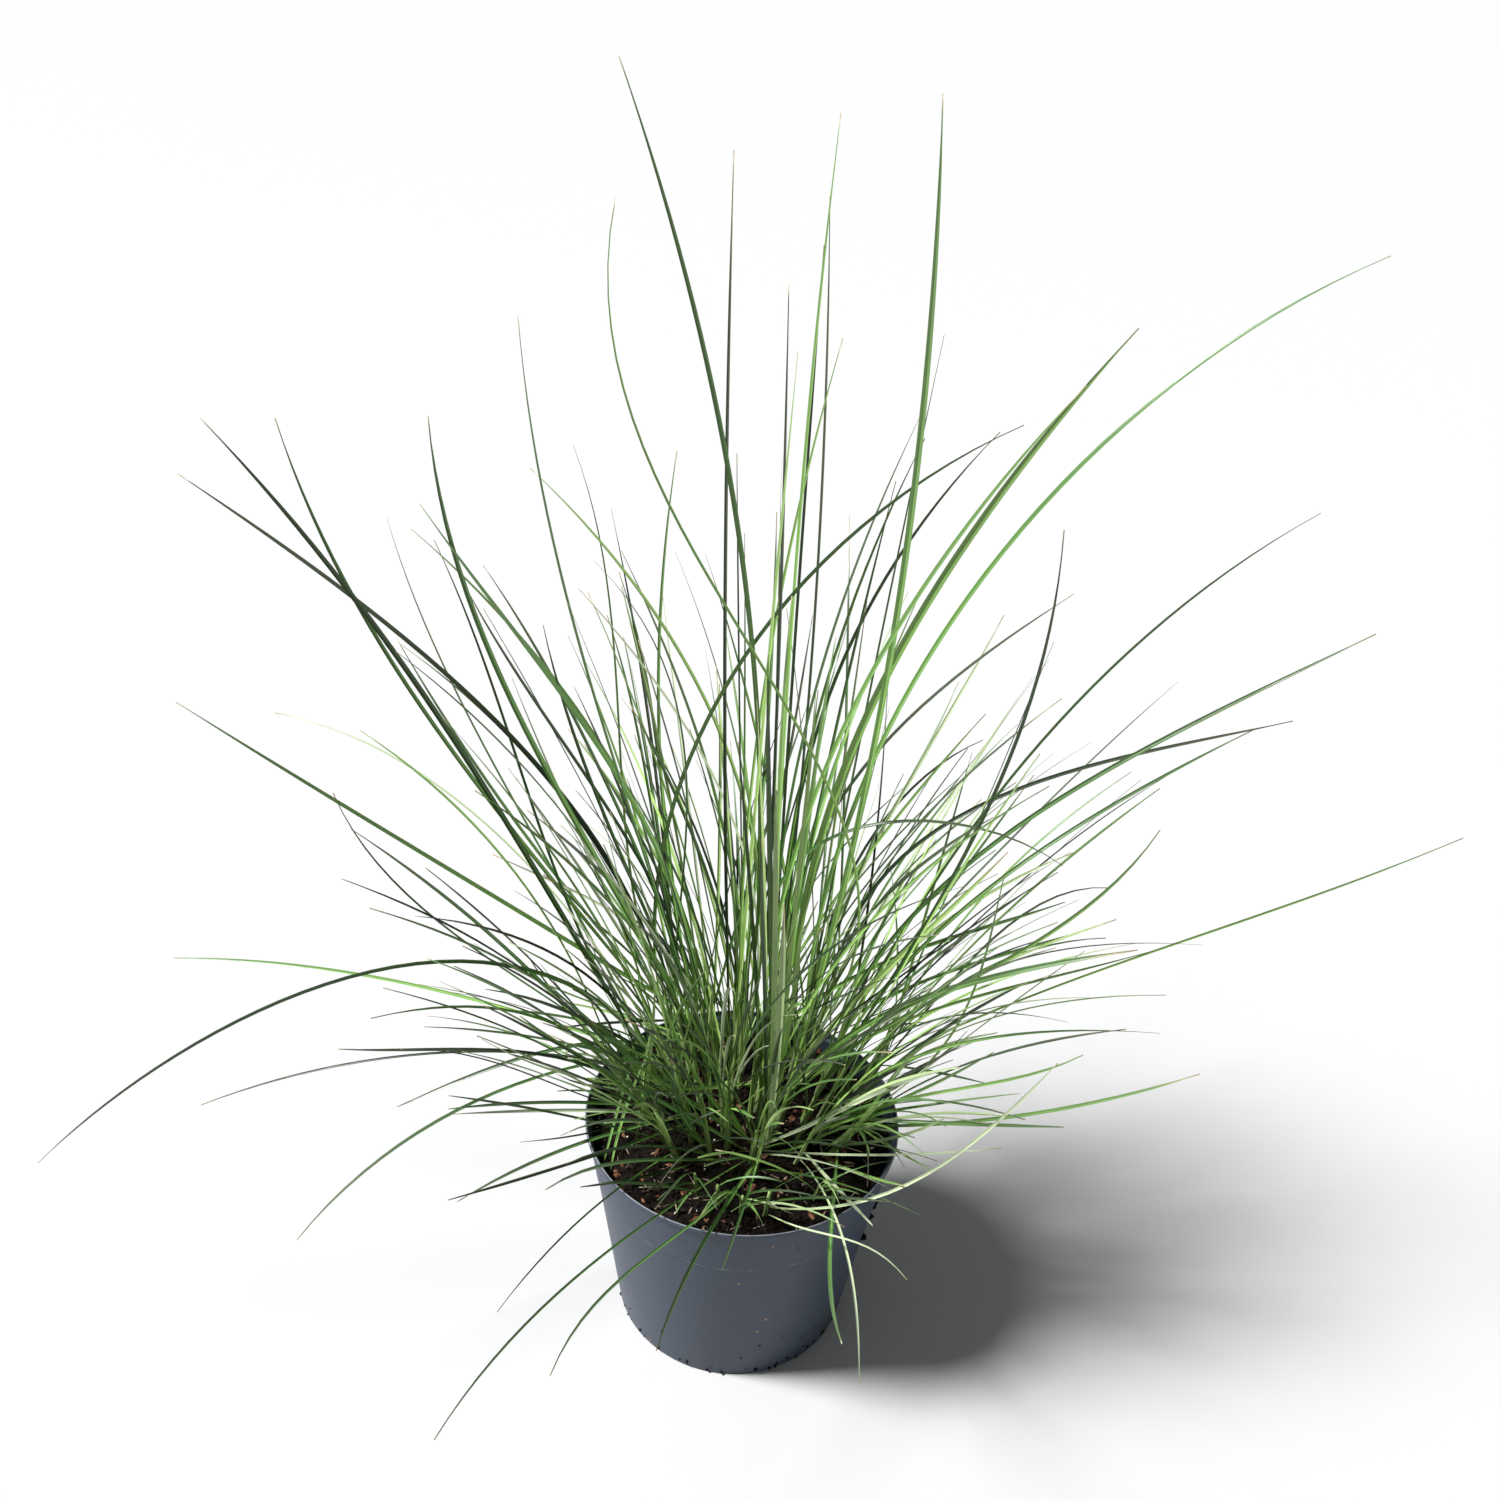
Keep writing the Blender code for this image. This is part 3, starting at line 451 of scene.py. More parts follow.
class Thicket:
    """The stretches of every shoot and leaf so far, and how near another leaf would come to them."""

    def __init__(self, shoots):
        self.ends = np.array([[s.foot, s.top] for s in shoots])
        self.half = np.array([s.radius for s in shoots])
        self.owner = np.arange(len(shoots))
        self.stems = len(shoots)

    def room_for(self, leaf):
        """How far the leaf stays from the others, less their widths and the clearance."""
        ends, half = stretches_of(leaf)
        gaps = closest(ends, self.ends) - half[:, None] - self.half[None] - CLEARANCE
        own = self.owner == leaf.shoot
        near = np.linalg.norm(self.ends[:, 0] - np.array(leaf.path[0]), axis=1) < 0.05
        gaps[:, own & near] = 1.0
        gaps[:, leaf.shoot] = 1.0
        gaps[:1, own] = 1.0
        return min(gaps.min(), room_over_pot(leaf))

    def add(self, leaf):
        """Keep a leaf's stretches."""
        ends, half = stretches_of(leaf)
        self.ends = np.concatenate([self.ends, ends])
        self.half = np.concatenate([self.half, half])
        self.owner = np.concatenate([self.owner, np.full(len(half), leaf.shoot)])

# %% Leaves from the picture, and others
def wanted_foot(seen):
    """Where in the crown a leaf of the picture is likely to stand."""
    soil = POT_HEIGHT - SOIL_EDGE_BELOW_RIM
    if seen.foot:
        return at_height(seen.foot, soil)
    tip = at_depth(seen.tip, seen.back)
    reach = (tip.xy - CROWN_CENTRE.xy) / 0.42
    if reach.length > 1:
        reach.normalize()
    return Vector((CROWN_CENTRE.x + reach.x * CROWN_ACROSS, CROWN_CENTRE.y + reach.y * CROWN_DEEP, soil))


def seen_leaf(seen, shoots, index, start, nearer):
    """A leaf of the picture that grows from start on a shoot, its tip nearer the eye by that much."""
    tip = at_depth(seen.tip, seen.back - nearer)
    pixels = [pixel_of(start)] + [Vector(p) for p in reversed(seen.passes)] + [Vector(seen.tip)]
    lengths = [0.0]
    for a, b in zip(pixels, pixels[1:]):
        lengths.append(lengths[-1] + (b - a).length)
    path = [start]
    for pixel, length in zip(pixels[1:-1], lengths[1:-1]):
        path.append(at_depth(pixel, start.y + (tip.y - start.y) * length / lengths[-1]))
    return Leaf(tuple(path + [tip]), seen.width, index)


def strain(leaf, shoots, nearer):
    """How unlikely a leaf's shape is: its turns, its start out of line with its stem, and its tip moved."""
    shoot = shoots[leaf.shoot]
    first = along(leaf.path, 0.03) - leaf.path[0]
    off_stem = math.degrees(first.angle(shoot.top - shoot.foot))
    return turn_of(leaf.path) + 0.4 * off_stem + 300 * abs(nearer)

def other_leaf(draw, shoots, index, number, attempt):
    """A leaf drawn at random for a shoot, leaning the way the shoot leans."""
    shoot = shoots[index]
    axis = (shoot.top - shoot.foot).normalized()
    start = shoot.foot.lerp(shoot.top, leaf_share(number))
    azimuth = math.atan2(axis.y, axis.x) + draw.gauss(0, 0.7 + attempt * 0.02)
    front = max(0.0, -math.sin(azimuth))
    lean = math.acos(axis.z) * draw.uniform(0.4, 1.3) + math.radians(draw.uniform(2, 12))
    fall = math.radians(draw.uniform(8, 46))
    length = draw.uniform(0.22, 0.47) * (1 - 0.5 * front)
    width = draw.uniform(0.0026, 0.0046)
    if number == 0:
        length *= 0.5
        lean += math.radians(draw.uniform(5, 35))
    if index >= CROWN_SHOOTS:
        length = draw.uniform(0.05, 0.11)
        lean += math.radians(20)
    turn = draw.uniform(-0.3, 0.3)
    bend = start + lean_towards(azimuth, lean) * length * 0.5
    tip = bend + lean_towards(azimuth + turn, lean + fall) * length * 0.5
    return Leaf((start, (start + bend * 2 + tip) / 4, tip), width, index)


def in_outline(leaf):
    """Whether a leaf drawn at random stays within the plant's outline in the picture."""
    x, y = pixel_of(leaf.path[-1])
    low = max(pixel_of(along(leaf.path, t)).y for t in (0.4, 0.6, 0.8, 1.0))
    return low < 1228 and ((x - 745) / 470) ** 2 + ((y - 1010) / 560) ** 2 < 1


def leaf_share(number):
    """How far up its shoot a leaf leaves it."""
    return 0.32 + 0.66 * number / (LEAVES_PER_SHOOT - 1)

# %% Grow the plant
def grow():
    """(shoots, leaves): the seen leaves first, then others until each shoot has its number of leaves."""
    shoots = lay_out_shoots()
    thicket = Thicket(shoots)
    held = [[] for _ in shoots]
    leaves = []
    for seen in sorted(SEEN_LEAVES, key=lambda s: s.foot is None):
        foot = wanted_foot(seen)
        most = LEAVES_PER_SHOOT if seen.foot else 4
        free = [i for i in range(len(shoots)) if len(held[i]) < most]
        free.sort(key=lambda i: (shoots[i].foot - foot).xy.length)
        tries = []
        for index in free[:4]:
            start = shoots[index].foot.lerp(shoots[index].top, leaf_share(len(held[index])))
            for k in range(35):
                nearer = 0.006 * ((k + 1) // 2) * (-1) ** k
                leaf = seen_leaf(seen, shoots, index, start, nearer)
                tries.append((strain(leaf, shoots, nearer), leaf))
        tries.sort(key=lambda t: t[0])
        leaf = next((t for _, t in tries if thicket.room_for(t) > 0), None)
        if leaf is None:
            print("no room for the leaf at", seen.tip)
            continue
        thicket.add(leaf)
        leaves.append(leaf)
        held[leaf.shoot].append(leaf)
    seen_count = len(leaves)
    draw = random.Random(SEED + 2)
    for index in range(len(shoots)):
        for number in range(len(held[index]), LEAVES_PER_SHOOT):
            for attempt in range(80):
                leaf = other_leaf(draw, shoots, index, number, attempt)
                if in_outline(leaf) and thicket.room_for(leaf) > 0:
                    thicket.add(leaf)
                    leaves.append(leaf)
                    break
    print(seen_count, "seen leaves,", len(leaves) - seen_count, "others")
    return shoots, leaves

all_shoots, all_leaves = grow()

# %% [markdown]
# ## Finer leaves between the main ones
# The CAD model stops at five leaves a shoot. A real clump has many thin ones between them. They are drawn
# at random from the same rule, shorter and narrower, and kept inside the reach of the main leaves.

# %% Fine leaves
FINE_PER_SHOOT = 4
FINE_AT_FRONT = 1
FINE_WIDTH = (0.0013, 0.0028)
FINE_REACH = (0.45, 1.05)
FINE_SEED = 29


def fine_leaf(draw, index, thicket, lowest, highest):
    """One thin leaf of a shoot that fits in the plant's outline and box, or None."""
    shoot = all_shoots[index]
    for attempt in range(12):
        leaf = other_leaf(draw, all_shoots, index, draw.randrange(LEAVES_PER_SHOOT), attempt)
        start = shoot.foot.lerp(shoot.top, draw.uniform(0.25, 0.95))
        reach = draw.uniform(*FINE_REACH)
        path = tuple(start + (point - leaf.path[0]) * reach for point in leaf.path)
        leaf = Leaf(path, draw.uniform(*FINE_WIDTH), index)
        tip = path[-1]
        inside = all(lowest[i] < tip[i] < highest[i] for i in range(3))
        if inside and in_outline(leaf) and room_over_pot(leaf) > 0 and thicket.room_for(leaf) > -0.0015:
            return leaf
    return None


def grow_fine_leaves(thicket):
    """The thin leaves of every shoot."""
    draw = random.Random(FINE_SEED)
    found = []
    for index in range(len(all_shoots)):
        for _ in range(FINE_PER_SHOOT if index < CROWN_SHOOTS else FINE_AT_FRONT):
            leaf = fine_leaf(draw, index, thicket, *cad_box)
            if leaf:
                found.append(leaf)
    return found


full_thicket = Thicket(all_shoots)
for leaf in all_leaves:
    full_thicket.add(leaf)
fine_leaves = grow_fine_leaves(full_thicket)
print(len(fine_leaves), "fine leaves")

# %% [markdown]
# ## Young leaves at the crown
# Short new leaves come up at the feet of the outer shoots and lie over the rim. They hide the stems, and
# without them a clump looks like a bunch of sticks. Each is an arch: out, up and over. At the front they
# would hide the soil, which shows in the picture, so none is drawn towards the eye.

# %% Young leaves
YOUNG_PER_SHOOT = 2
YOUNG_FROM = 0.62
YOUNG_FRONT_GAP = math.radians(48)
YOUNG_LENGTH = (0.060, 0.190)
YOUNG_WIDTH = (0.0014, 0.0028)
YOUNG_RISE = (0.25, 1.25)
YOUNG_DROOP = (0.02, 0.25)
YOUNG_SPREAD = 1.1
YOUNG_SEED = 61


def young_leaf(draw, index):
    """A short arching leaf from the foot of a shoot, clear of the soil and the rim, or None."""
    shoot = all_shoots[index]
    way = (shoot.foot - CROWN_CENTRE).xy
    heading = math.atan2(way.y, way.x)
    for _ in range(10):
        angle = heading + draw.uniform(-YOUNG_SPREAD, YOUNG_SPREAD)
        out = Vector((math.cos(angle), math.sin(angle), 0))
        length = draw.uniform(*YOUNG_LENGTH)
        rise = draw.uniform(*YOUNG_RISE)
        start = shoot.foot.lerp(shoot.top, draw.uniform(0.12, 0.6))
        bend = start + (out * math.cos(rise) + Vector((0, 0, math.sin(rise)))) * length * 0.5
        late = rise - draw.uniform(*YOUNG_DROOP) * 1.6
        tip = bend + (out * math.cos(late) + Vector((0, 0, math.sin(late)))) * length * 0.5
        leaf = Leaf((start, bend, tip), draw.uniform(*YOUNG_WIDTH), index)
        if out.y > -math.cos(YOUNG_FRONT_GAP) and room_over_pot(leaf) > 0:
            return leaf
    return None


def is_outer(index):
    """Whether a shoot stands in the outer part of the crown."""
    way = all_shoots[index].foot - CROWN_CENTRE
    return math.hypot(way.x / CROWN_ACROSS, way.y / CROWN_DEEP) > YOUNG_FROM


def grow_young_leaves():
    """The short leaves of the outer shoots."""
    draw = random.Random(YOUNG_SEED)
    drawn = []
    for index in filter(is_outer, range(CROWN_SHOOTS)):
        drawn += [young_leaf(draw, index) for _ in range(YOUNG_PER_SHOOT)]
    return [leaf for leaf in drawn if leaf]


young_leaves = grow_young_leaves()
print(len(young_leaves), "young leaves")

# %% [markdown]
# ## The leaves nearest the eye
# The picture's middle is held by a few broad pale leaves that stand close together in front, and by dark
# ones that cross them. They are too near each other for the CAD model, so they are placed here, in the same
# way as the others: tip, points passed, depth, width, foot. Each also has its shade, from 0, dusky, to 1, pale:
# besides each leaf's own green, the low shades are painted shadow and the high ones painted light and glare.

# %% Leaves nearest the eye
# Low shades here paint shadow on the leaves, and high shades paint light and glare on them.
NEAR_LEAVES = (
    (Seen((757, 700), ((765, 860), (767, 1040)), -0.020, 0.0038, (763, 1152)), 0.88),
    (Seen((792, 596), ((779, 830), (774, 1030)), 0.000, 0.0036, (768, 1150)), 0.78),
    (Seen((768, 655), ((769, 850), (771, 1020)), -0.030, 0.0040, (766, 1154)), 0.30),
    (Seen((818, 690), ((796, 890), (781, 1040)), -0.010, 0.0036, (770, 1148)), 0.90),
    (Seen((836, 636), ((806, 840), (786, 1010)), 0.020, 0.0034, (772, 1146)), 0.60),
    (Seen((776, 790), ((775, 930), (772, 1060)), -0.045, 0.0040, (765, 1160)), 0.92),
    (Seen((738, 742), ((750, 900), (758, 1040)), 0.010, 0.0034, (760, 1146)), 0.22),
    (Seen((784, 905), ((782, 985), (776, 1070)), -0.055, 0.0046, (764, 1162)), 0.94),
    (Seen((762, 838), ((764, 940), (767, 1060)), -0.035, 0.0034, (762, 1156)), 0.12),
    (Seen((802, 930), ((791, 1010), (780, 1080)), -0.050, 0.0034, (768, 1150)), 0.86),
    (Seen((1008, 852), ((924, 934), (842, 1016)), -0.020, 0.0034, (776, 1112)), 0.88),
    (Seen((982, 958), ((900, 1012), (840, 1048)), -0.040, 0.0028, (778, 1120)), 0.98),
    (Seen((960, 1066), ((880, 1092), (812, 1124)), -0.075, 0.0028, (752, 1158)), 0.99),
    (Seen((556, 1074), ((673, 1087), (731, 1085)), -0.050, 0.0034, (770, 1100)), 0.10),
    (Seen((548, 984), ((623, 1051), (698, 1108)), -0.030, 0.0034, (752, 1152)), 0.35),
    (Seen((520, 1016), ((600, 1068), (680, 1112)), -0.050, 0.0032, (744, 1160)), 0.25),
    (Seen((612, 905), ((655, 985), (706, 1090)), -0.030, 0.0034, (750, 1150)), 0.62),
    (Seen((655, 985), ((650, 1050), (642, 1110)), -0.045, 0.0030, (636, 1150)), 0.85),
    (Seen((700, 1010), ((722, 1090),), -0.050, 0.0032, (752, 1158)), 0.70),
    (Seen((560, 1136), ((624, 1120), (684, 1132)), -0.085, 0.0028, (716, 1158)), 0.10),
    (Seen((566, 1164), ((630, 1146), (680, 1148)), -0.095, 0.0026, (712, 1166)), 0.20),
    (Seen((905, 1168), ((868, 1128), (820, 1136)), -0.085, 0.0026, (780, 1160)), 0.55),
    (Seen((884, 1098), ((850, 1130),), -0.080, 0.0030, (824, 1158)), 0.90),
    (Seen((905, 1065), ((870, 1110),), -0.070, 0.0028, (836, 1162)), 0.75),
    (Seen((520, 1142), ((585, 1133), (655, 1111)), -0.080, 0.0024, (700, 1092)), 0.10),
    (Seen((545, 1190), ((610, 1164), (680, 1160)), -0.095, 0.0026, (722, 1170)), 0.20),
    (Seen((580, 1187), ((640, 1177),), -0.100, 0.0022, (690, 1172)), 0.12),
    (Seen((645, 1060), ((622, 1122),), -0.040, 0.0024, (611, 1176)), 0.66),
    (Seen((630, 1070), ((614, 1124),), -0.035, 0.0020, (604, 1168)), 0.56),
    (Seen((652, 1030), ((643, 1085),), -0.030, 0.0030, (643, 1130)), 0.78),
    (Seen((672, 1056), ((684, 1118),), -0.060, 0.0044, (716, 1168)), 0.40),
    (Seen((905, 1186), ((865, 1176),), -0.100, 0.0024, (828, 1168)), 0.75),
    (Seen((945, 1118), ((880, 1141),), -0.060, 0.0024, (818, 1154)), 0.95),
    (Seen((935, 1172), ((890, 1146),), -0.050, 0.0022, (858, 1132)), 0.85),
)
NEAR_TRIES = 40
NEAR_SLIDE = 0.004


def near_leaf(seen):
    """One of these leaves, slid along its line of sight until it is clear of the soil and the rim."""
    foot = at_height(seen.foot, POT_HEIGHT - SOIL_EDGE_BELOW_RIM)
    foot.z = soil_height(foot.x, foot.y) + 0.003
    index = min(range(len(all_shoots)), key=lambda i: (all_shoots[i].foot - foot).xy.length)
    for k in range(NEAR_TRIES):
        leaf = seen_leaf(seen, all_shoots, index, foot, NEAR_SLIDE * ((k + 1) // 2) * (-1) ** k)
        if room_over_pot(leaf) > -0.004:
            return leaf
    print("no room for the near leaf at", seen.tip)
    return None


near_leaves = [(near_leaf(seen), shade) for seen, shade in NEAR_LEAVES]
near_leaves = [(leaf, shade) for leaf, shade in near_leaves if leaf]
print(len(near_leaves), "near leaves")

# %% [markdown]
# ## Helpers for meshes and for node trees
# A mesh is made from points and faces, and its faces are turned outwards. A geometry node tree gets its
# inputs by name here, and the helper that runs it turns the result into a plain mesh, because the finished
# model keeps no modifiers.

# %% Mesh helpers
def add_object(name, vertices, faces):
    """A mesh object with its faces turned outwards."""
    mesh = bpy.data.meshes.new(name)
    mesh.from_pydata([tuple(v) for v in vertices], [], faces)
    work = bmesh.new()
    work.from_mesh(mesh)
    bmesh.ops.recalc_face_normals(work, faces=work.faces)
    work.to_mesh(mesh)
    work.free()
    obj = bpy.data.objects.new(name, mesh)
    bpy.context.scene.collection.objects.link(obj)
    return obj


def tube(rings, start_point=None, end_point=None):
    """(vertices, faces) of a skin over rings of points, closed by points or by flat ends."""
    sides = len(rings[0])
    vertices = [p for ring in rings for p in ring]
    faces = []
    for r in range(len(rings) - 1):
        for i in range(sides):
            a = r * sides + i
            b = r * sides + (i + 1) % sides
            faces.append((a, b, b + sides, a + sides))
    for first, point in ((0, start_point), ((len(rings) - 1) * sides, end_point)):
        if point is None:
            faces.append(tuple(range(first, first + sides)))
            continue
        vertices.append(point)
        for i in range(sides):
            faces.append((first + i, first + (i + 1) % sides, len(vertices) - 1))
    return vertices, faces


def ring(centre, across, over, radius, sides, turn=0.0):
    """A circle of points about centre, in the plane of two directions."""
    points = []
    for i in range(sides):
        angle = turn + 2 * math.pi * i / sides
        points.append(centre + (across * math.cos(angle) + over * math.sin(angle)) * radius)
    return points


def turned(name, profile, sides):
    """A body turned about the vertical axis from (radius, height) pairs, open at neither end."""
    across = Vector((1, 0, 0))
    over = Vector((0, 1, 0))
    rings = [ring(Vector((0, 0, z)), across, over, r, sides) for r, z in profile[1:-1]]
    ends = [Vector((0, 0, profile[0][1])), Vector((0, 0, profile[-1][1]))]
    return add_object(name, *tube(rings, *ends))


def fuse(body, tools, operation):
    """Join tools to a body or cut them from it, all at once, and leave only the body."""
    group = bpy.data.collections.new(body.name + "_tools")
    for tool in tools:
        group.objects.link(tool)
    modifier = body.modifiers.new(operation.title(), "BOOLEAN")
    modifier.operation = operation
    modifier.operand_type = "COLLECTION"
    modifier.collection = group
    modifier.solver = "EXACT"
    shape = bpy.data.meshes.new_from_object(body.evaluated_get(bpy.context.evaluated_depsgraph_get()))
    body.modifiers.clear()
    body.data = shape
    for tool in tools:
        bpy.data.objects.remove(tool)
    bpy.data.collections.remove(group)
    return body

def keep_piece(obj, node=None):
    """Tie a finished piece to the plant, and let it stand for a CAD node."""
    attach(obj, "root")
    if node:
        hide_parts(node)


# %% Node tree helpers
def new_tree(name, kind, inputs, outputs):
    """A node tree with named inputs, each (name, type, default), and outputs; and its two end nodes."""
    tree = bpy.data.node_groups.new(name, kind)
    for label, socket_type, default in inputs:
        socket = tree.interface.new_socket(label, in_out="INPUT", socket_type=socket_type)
        if default is not None:
            socket.default_value = default
    for label, socket_type in outputs:
        tree.interface.new_socket(label, in_out="OUTPUT", socket_type=socket_type)
    return tree, tree.nodes.new("NodeGroupInput"), tree.nodes.new("NodeGroupOutput")


def add_node(tree, kind, links=(), **settings):
    """A node with its properties set, and links given as (input, value or output socket)."""
    node = tree.nodes.new(kind)
    for key, value in settings.items():
        setattr(node, key, value)
    for key, value in dict(links).items():
        if isinstance(value, bpy.types.NodeSocket):
            tree.links.new(value, node.inputs[key])
        else:
            node.inputs[key].default_value = value
    return node


def maths(tree, operation, a, b=None, c=None):
    """The output of a maths node."""
    links = {0: a}
    if b is not None:
        links[1] = b
    if c is not None:
        links[2] = c
    return add_node(tree, "ShaderNodeMath", links, operation=operation).outputs[0]


def grain_group():
    """Cloudy grain: its plain height, and a mask that rises as the height passes from Low to High."""
    group, start, end = new_tree("grain", "ShaderNodeTree", (
        ("Place", "NodeSocketVector", None),
        ("Scale", "NodeSocketFloat", 100.0),
        ("Detail", "NodeSocketFloat", 4.0),
        ("Low", "NodeSocketFloat", 0.4),
        ("High", "NodeSocketFloat", 0.7),
    ), (("Height", "NodeSocketFloat"), ("Mask", "NodeSocketFloat")))
    clouds = add_node(group, "ShaderNodeTexNoise", {
        "Vector": start.outputs["Place"], "Scale": start.outputs["Scale"], "Detail": start.outputs["Detail"]})
    mask = add_node(group, "ShaderNodeMapRange", {
        "Value": clouds.outputs["Fac"], "From Min": start.outputs["Low"], "From Max": start.outputs["High"],
    }, interpolation_type="SMOOTHSTEP")
    group.links.new(clouds.outputs["Fac"], end.inputs["Height"])
    group.links.new(mask.outputs["Result"], end.inputs["Mask"])
    return group


grain_tree = grain_group()


def grain(tree, place, scale, detail=4.0, low=0.4, high=0.7):
    """The height and the mask of the grain group, placed in a material with its own values."""
    node = tree.nodes.new("ShaderNodeGroup")
    node.node_tree = grain_tree
    tree.links.new(place, node.inputs["Place"])
    for label, value in (("Scale", scale), ("Detail", detail), ("Low", low), ("High", high)):
        node.inputs[label].default_value = value
    return node.outputs["Height"], node.outputs["Mask"]


def run_tree(obj, tree, values):
    """Put a tree on an object, set its inputs by their identifiers, and keep the result as a plain mesh."""
    modifier = obj.modifiers.new(tree.name, "NODES")
    modifier.node_group = tree
    for item in tree.interface.items_tree:
        if item.item_type == "SOCKET" and item.in_out == "INPUT" and item.name in values:
            modifier[item.identifier] = values[item.name]
    mesh = bpy.data.meshes.new_from_object(obj.evaluated_get(bpy.context.evaluated_depsgraph_get()))
    obj.modifiers.clear()
    obj.data = mesh
    return obj


# %% [markdown]
# ## What the leaves are made of
# A grass leaf is satin, with fine veins along it, a pale midrib, a greyer underside that is also darkened as
# painted shade, and often a tip that has dried to straw. The sweep that makes the leaves stores where each
# point lies on its leaf, and the material reads those numbers, so the veins and the midrib follow every bend.

# %% Leaf material
MIDRIB_HALF = 0.28
VEINS_ACROSS = 3.0
VEIN_STRETCH = 2.5
GREENER_BASE = 0.18


def attribute(tree, name):
    """The number stored on the mesh under a name."""
    return add_node(tree, "ShaderNodeAttribute", attribute_name=name).outputs["Fac"]


def ramp(tree, factor, stops):
    """The colour of a factor between (place, colour) stops."""
    node = add_node(tree, "ShaderNodeValToRGB", {"Fac": factor})
    elements = node.color_ramp.elements
    while len(elements) < len(stops):
        elements.new(1.0)
    for element, (place, colour) in zip(elements, stops):
        element.position = place
        element.color = (*colour, 1.0)
    return node.outputs["Color"]


def mix(tree, factor, a, b, blend="MIX"):
    """Two colours mixed."""
    node = add_node(tree, "ShaderNodeMix", data_type="RGBA", blend_type=blend)
    for index, value in ((0, factor), (6, a), (7, b)):
        if isinstance(value, bpy.types.NodeSocket):
            tree.links.new(value, node.inputs[index])
        else:
            node.inputs[index].default_value = value if index == 0 else (*value, 1.0)
    return node.outputs[2]


def step_between(tree, value, low, high):
    """0 below low, 1 above high, and a smooth rise between them."""
    node = add_node(tree, "ShaderNodeMapRange", {"Value": value}, interpolation_type="SMOOTHSTEP")
    for key, bound in (("From Min", low), ("From Max", high)):
        if isinstance(bound, bpy.types.NodeSocket):
            tree.links.new(bound, node.inputs[key])
        else:
            node.inputs[key].default_value = bound
    return node.outputs["Result"]


def new_material(name, roughness):
    """A material with a Principled shader, its tree and that shader."""
    material = bpy.data.materials.new(name)
    material.use_nodes = True
    shader = material.node_tree.nodes["Principled BSDF"]
    shader.inputs["Roughness"].default_value = roughness
    return material, material.node_tree, shader


def leaf_material():
    """Green by each leaf's shade, painted shadow at its dark end and painted glare at its pale end; veined, pale on
    the midrib, greyer and partly painted shade below, greyer outwards, dry at the tip.
    """
    material, tree, shader = new_material("leaf", 0.30)
    shader.inputs["Specular IOR Level"].default_value = 0.3
    across = maths(tree, "ABSOLUTE", attribute(tree, "across"))
    place = attribute(tree, "leaf_t")
    shade = attribute(tree, "shade")
    greener = maths(tree, "MULTIPLY", step_between(tree, place, 0.85, 0.35), GREENER_BASE)
    greener = maths(tree, "MULTIPLY", greener, step_between(tree, shade, 0.0, 0.30))
    tone = maths(tree, "ADD", shade, maths(tree, "MULTIPLY", greener, maths(tree, "SUBTRACT", 1.0, shade)))
    combined = add_node(tree, "ShaderNodeCombineXYZ", {
        "X": maths(tree, "MULTIPLY", attribute(tree, "across"), VEINS_ACROSS),
        "Y": maths(tree, "MULTIPLY", attribute(tree, "along"), VEIN_STRETCH),
        "Z": maths(tree, "MULTIPLY", shade, 40.0),
    }).outputs[0]
    veins, vein_mask = grain(tree, combined, 1.0, 2.0, 0.35, 0.70)
    # The darkest stop is painted shadow for the dusky leaves, and the greyish-white top stop is painted glare for the
    # palest ones.
    green = ramp(tree, tone, [
        (0.00, (0.014, 0.024, 0.012)),
        (0.18, (0.018, 0.050, 0.013)),
        (0.50, (0.058, 0.168, 0.030)),
        (0.76, (0.160, 0.335, 0.065)),
        (0.90, (0.350, 0.540, 0.165)),
        (1.00, (0.420, 0.480, 0.360)),
    ])
    veined = mix(tree, vein_mask, green, (1.35, 1.30, 1.20), "MULTIPLY")
    # The underside is greyer and darker: partly the leaf's own colour, partly painted shade.
    under = mix(tree, 0.25, veined, (0.055, 0.072, 0.045))
    faced = mix(tree, attribute(tree, "under"), veined, under)
    rib = step_between(tree, across, MIDRIB_HALF, 0.05)
    rib = maths(tree, "MULTIPLY", rib, step_between(tree, place, 0.75, 0.35))
    rib = maths(tree, "MULTIPLY", rib, step_between(tree, shade, 0.05, 0.40))
    ribbed = mix(tree, maths(tree, "MULTIPLY", rib, 0.70), faced, (0.46, 0.58, 0.27))
    fresh = maths(tree, "MULTIPLY", step_between(tree, place, 0.30, 0.0), 0.30)
    ribbed = mix(tree, fresh, ribbed, (0.300, 0.440, 0.090))
    weathered = maths(tree, "MULTIPLY", step_between(tree, place, 0.30, 0.90), 0.42)
    ribbed = mix(tree, weathered, ribbed, (0.130, 0.140, 0.100))
    dry_from = maths(tree, "SUBTRACT", 1.0, attribute(tree, "dry"))
    dried = mix(tree, step_between(tree, place, dry_from, 1.0), ribbed, (0.270, 0.220, 0.120))
    pale = ramp(tree, attribute(tree, "along"), [
        (0.00, (0.400, 0.430, 0.250)),
        (0.05, (0.260, 0.400, 0.120)),
        (0.12, (0.130, 0.260, 0.060)),
    ])
    stemmed = mix(tree, attribute(tree, "stem"), dried, pale)
    tree.links.new(stemmed, shader.inputs["Base Color"])
    bump = add_node(tree, "ShaderNodeBump", {"Height": veins, "Strength": 0.3, "Distance": 0.0003})
    tree.links.new(bump.outputs[0], shader.inputs["Normal"])
    return material


leaf_finish = leaf_material()
print("leaf material:", len(leaf_finish.node_tree.nodes), "nodes")

# %% [markdown]
# ## Sweeping the leaves
# A leaf blade is a narrow strip, folded like a shallow gutter along its midrib and often twisted. Modelling
# each by hand would take days. A sweep carries one small section along each midline instead, scaled by the
# leaf's width at that place. Each midline point holds which way the blade faces, so the strip turns as the
# leaf does and never flips where the midline is upright.

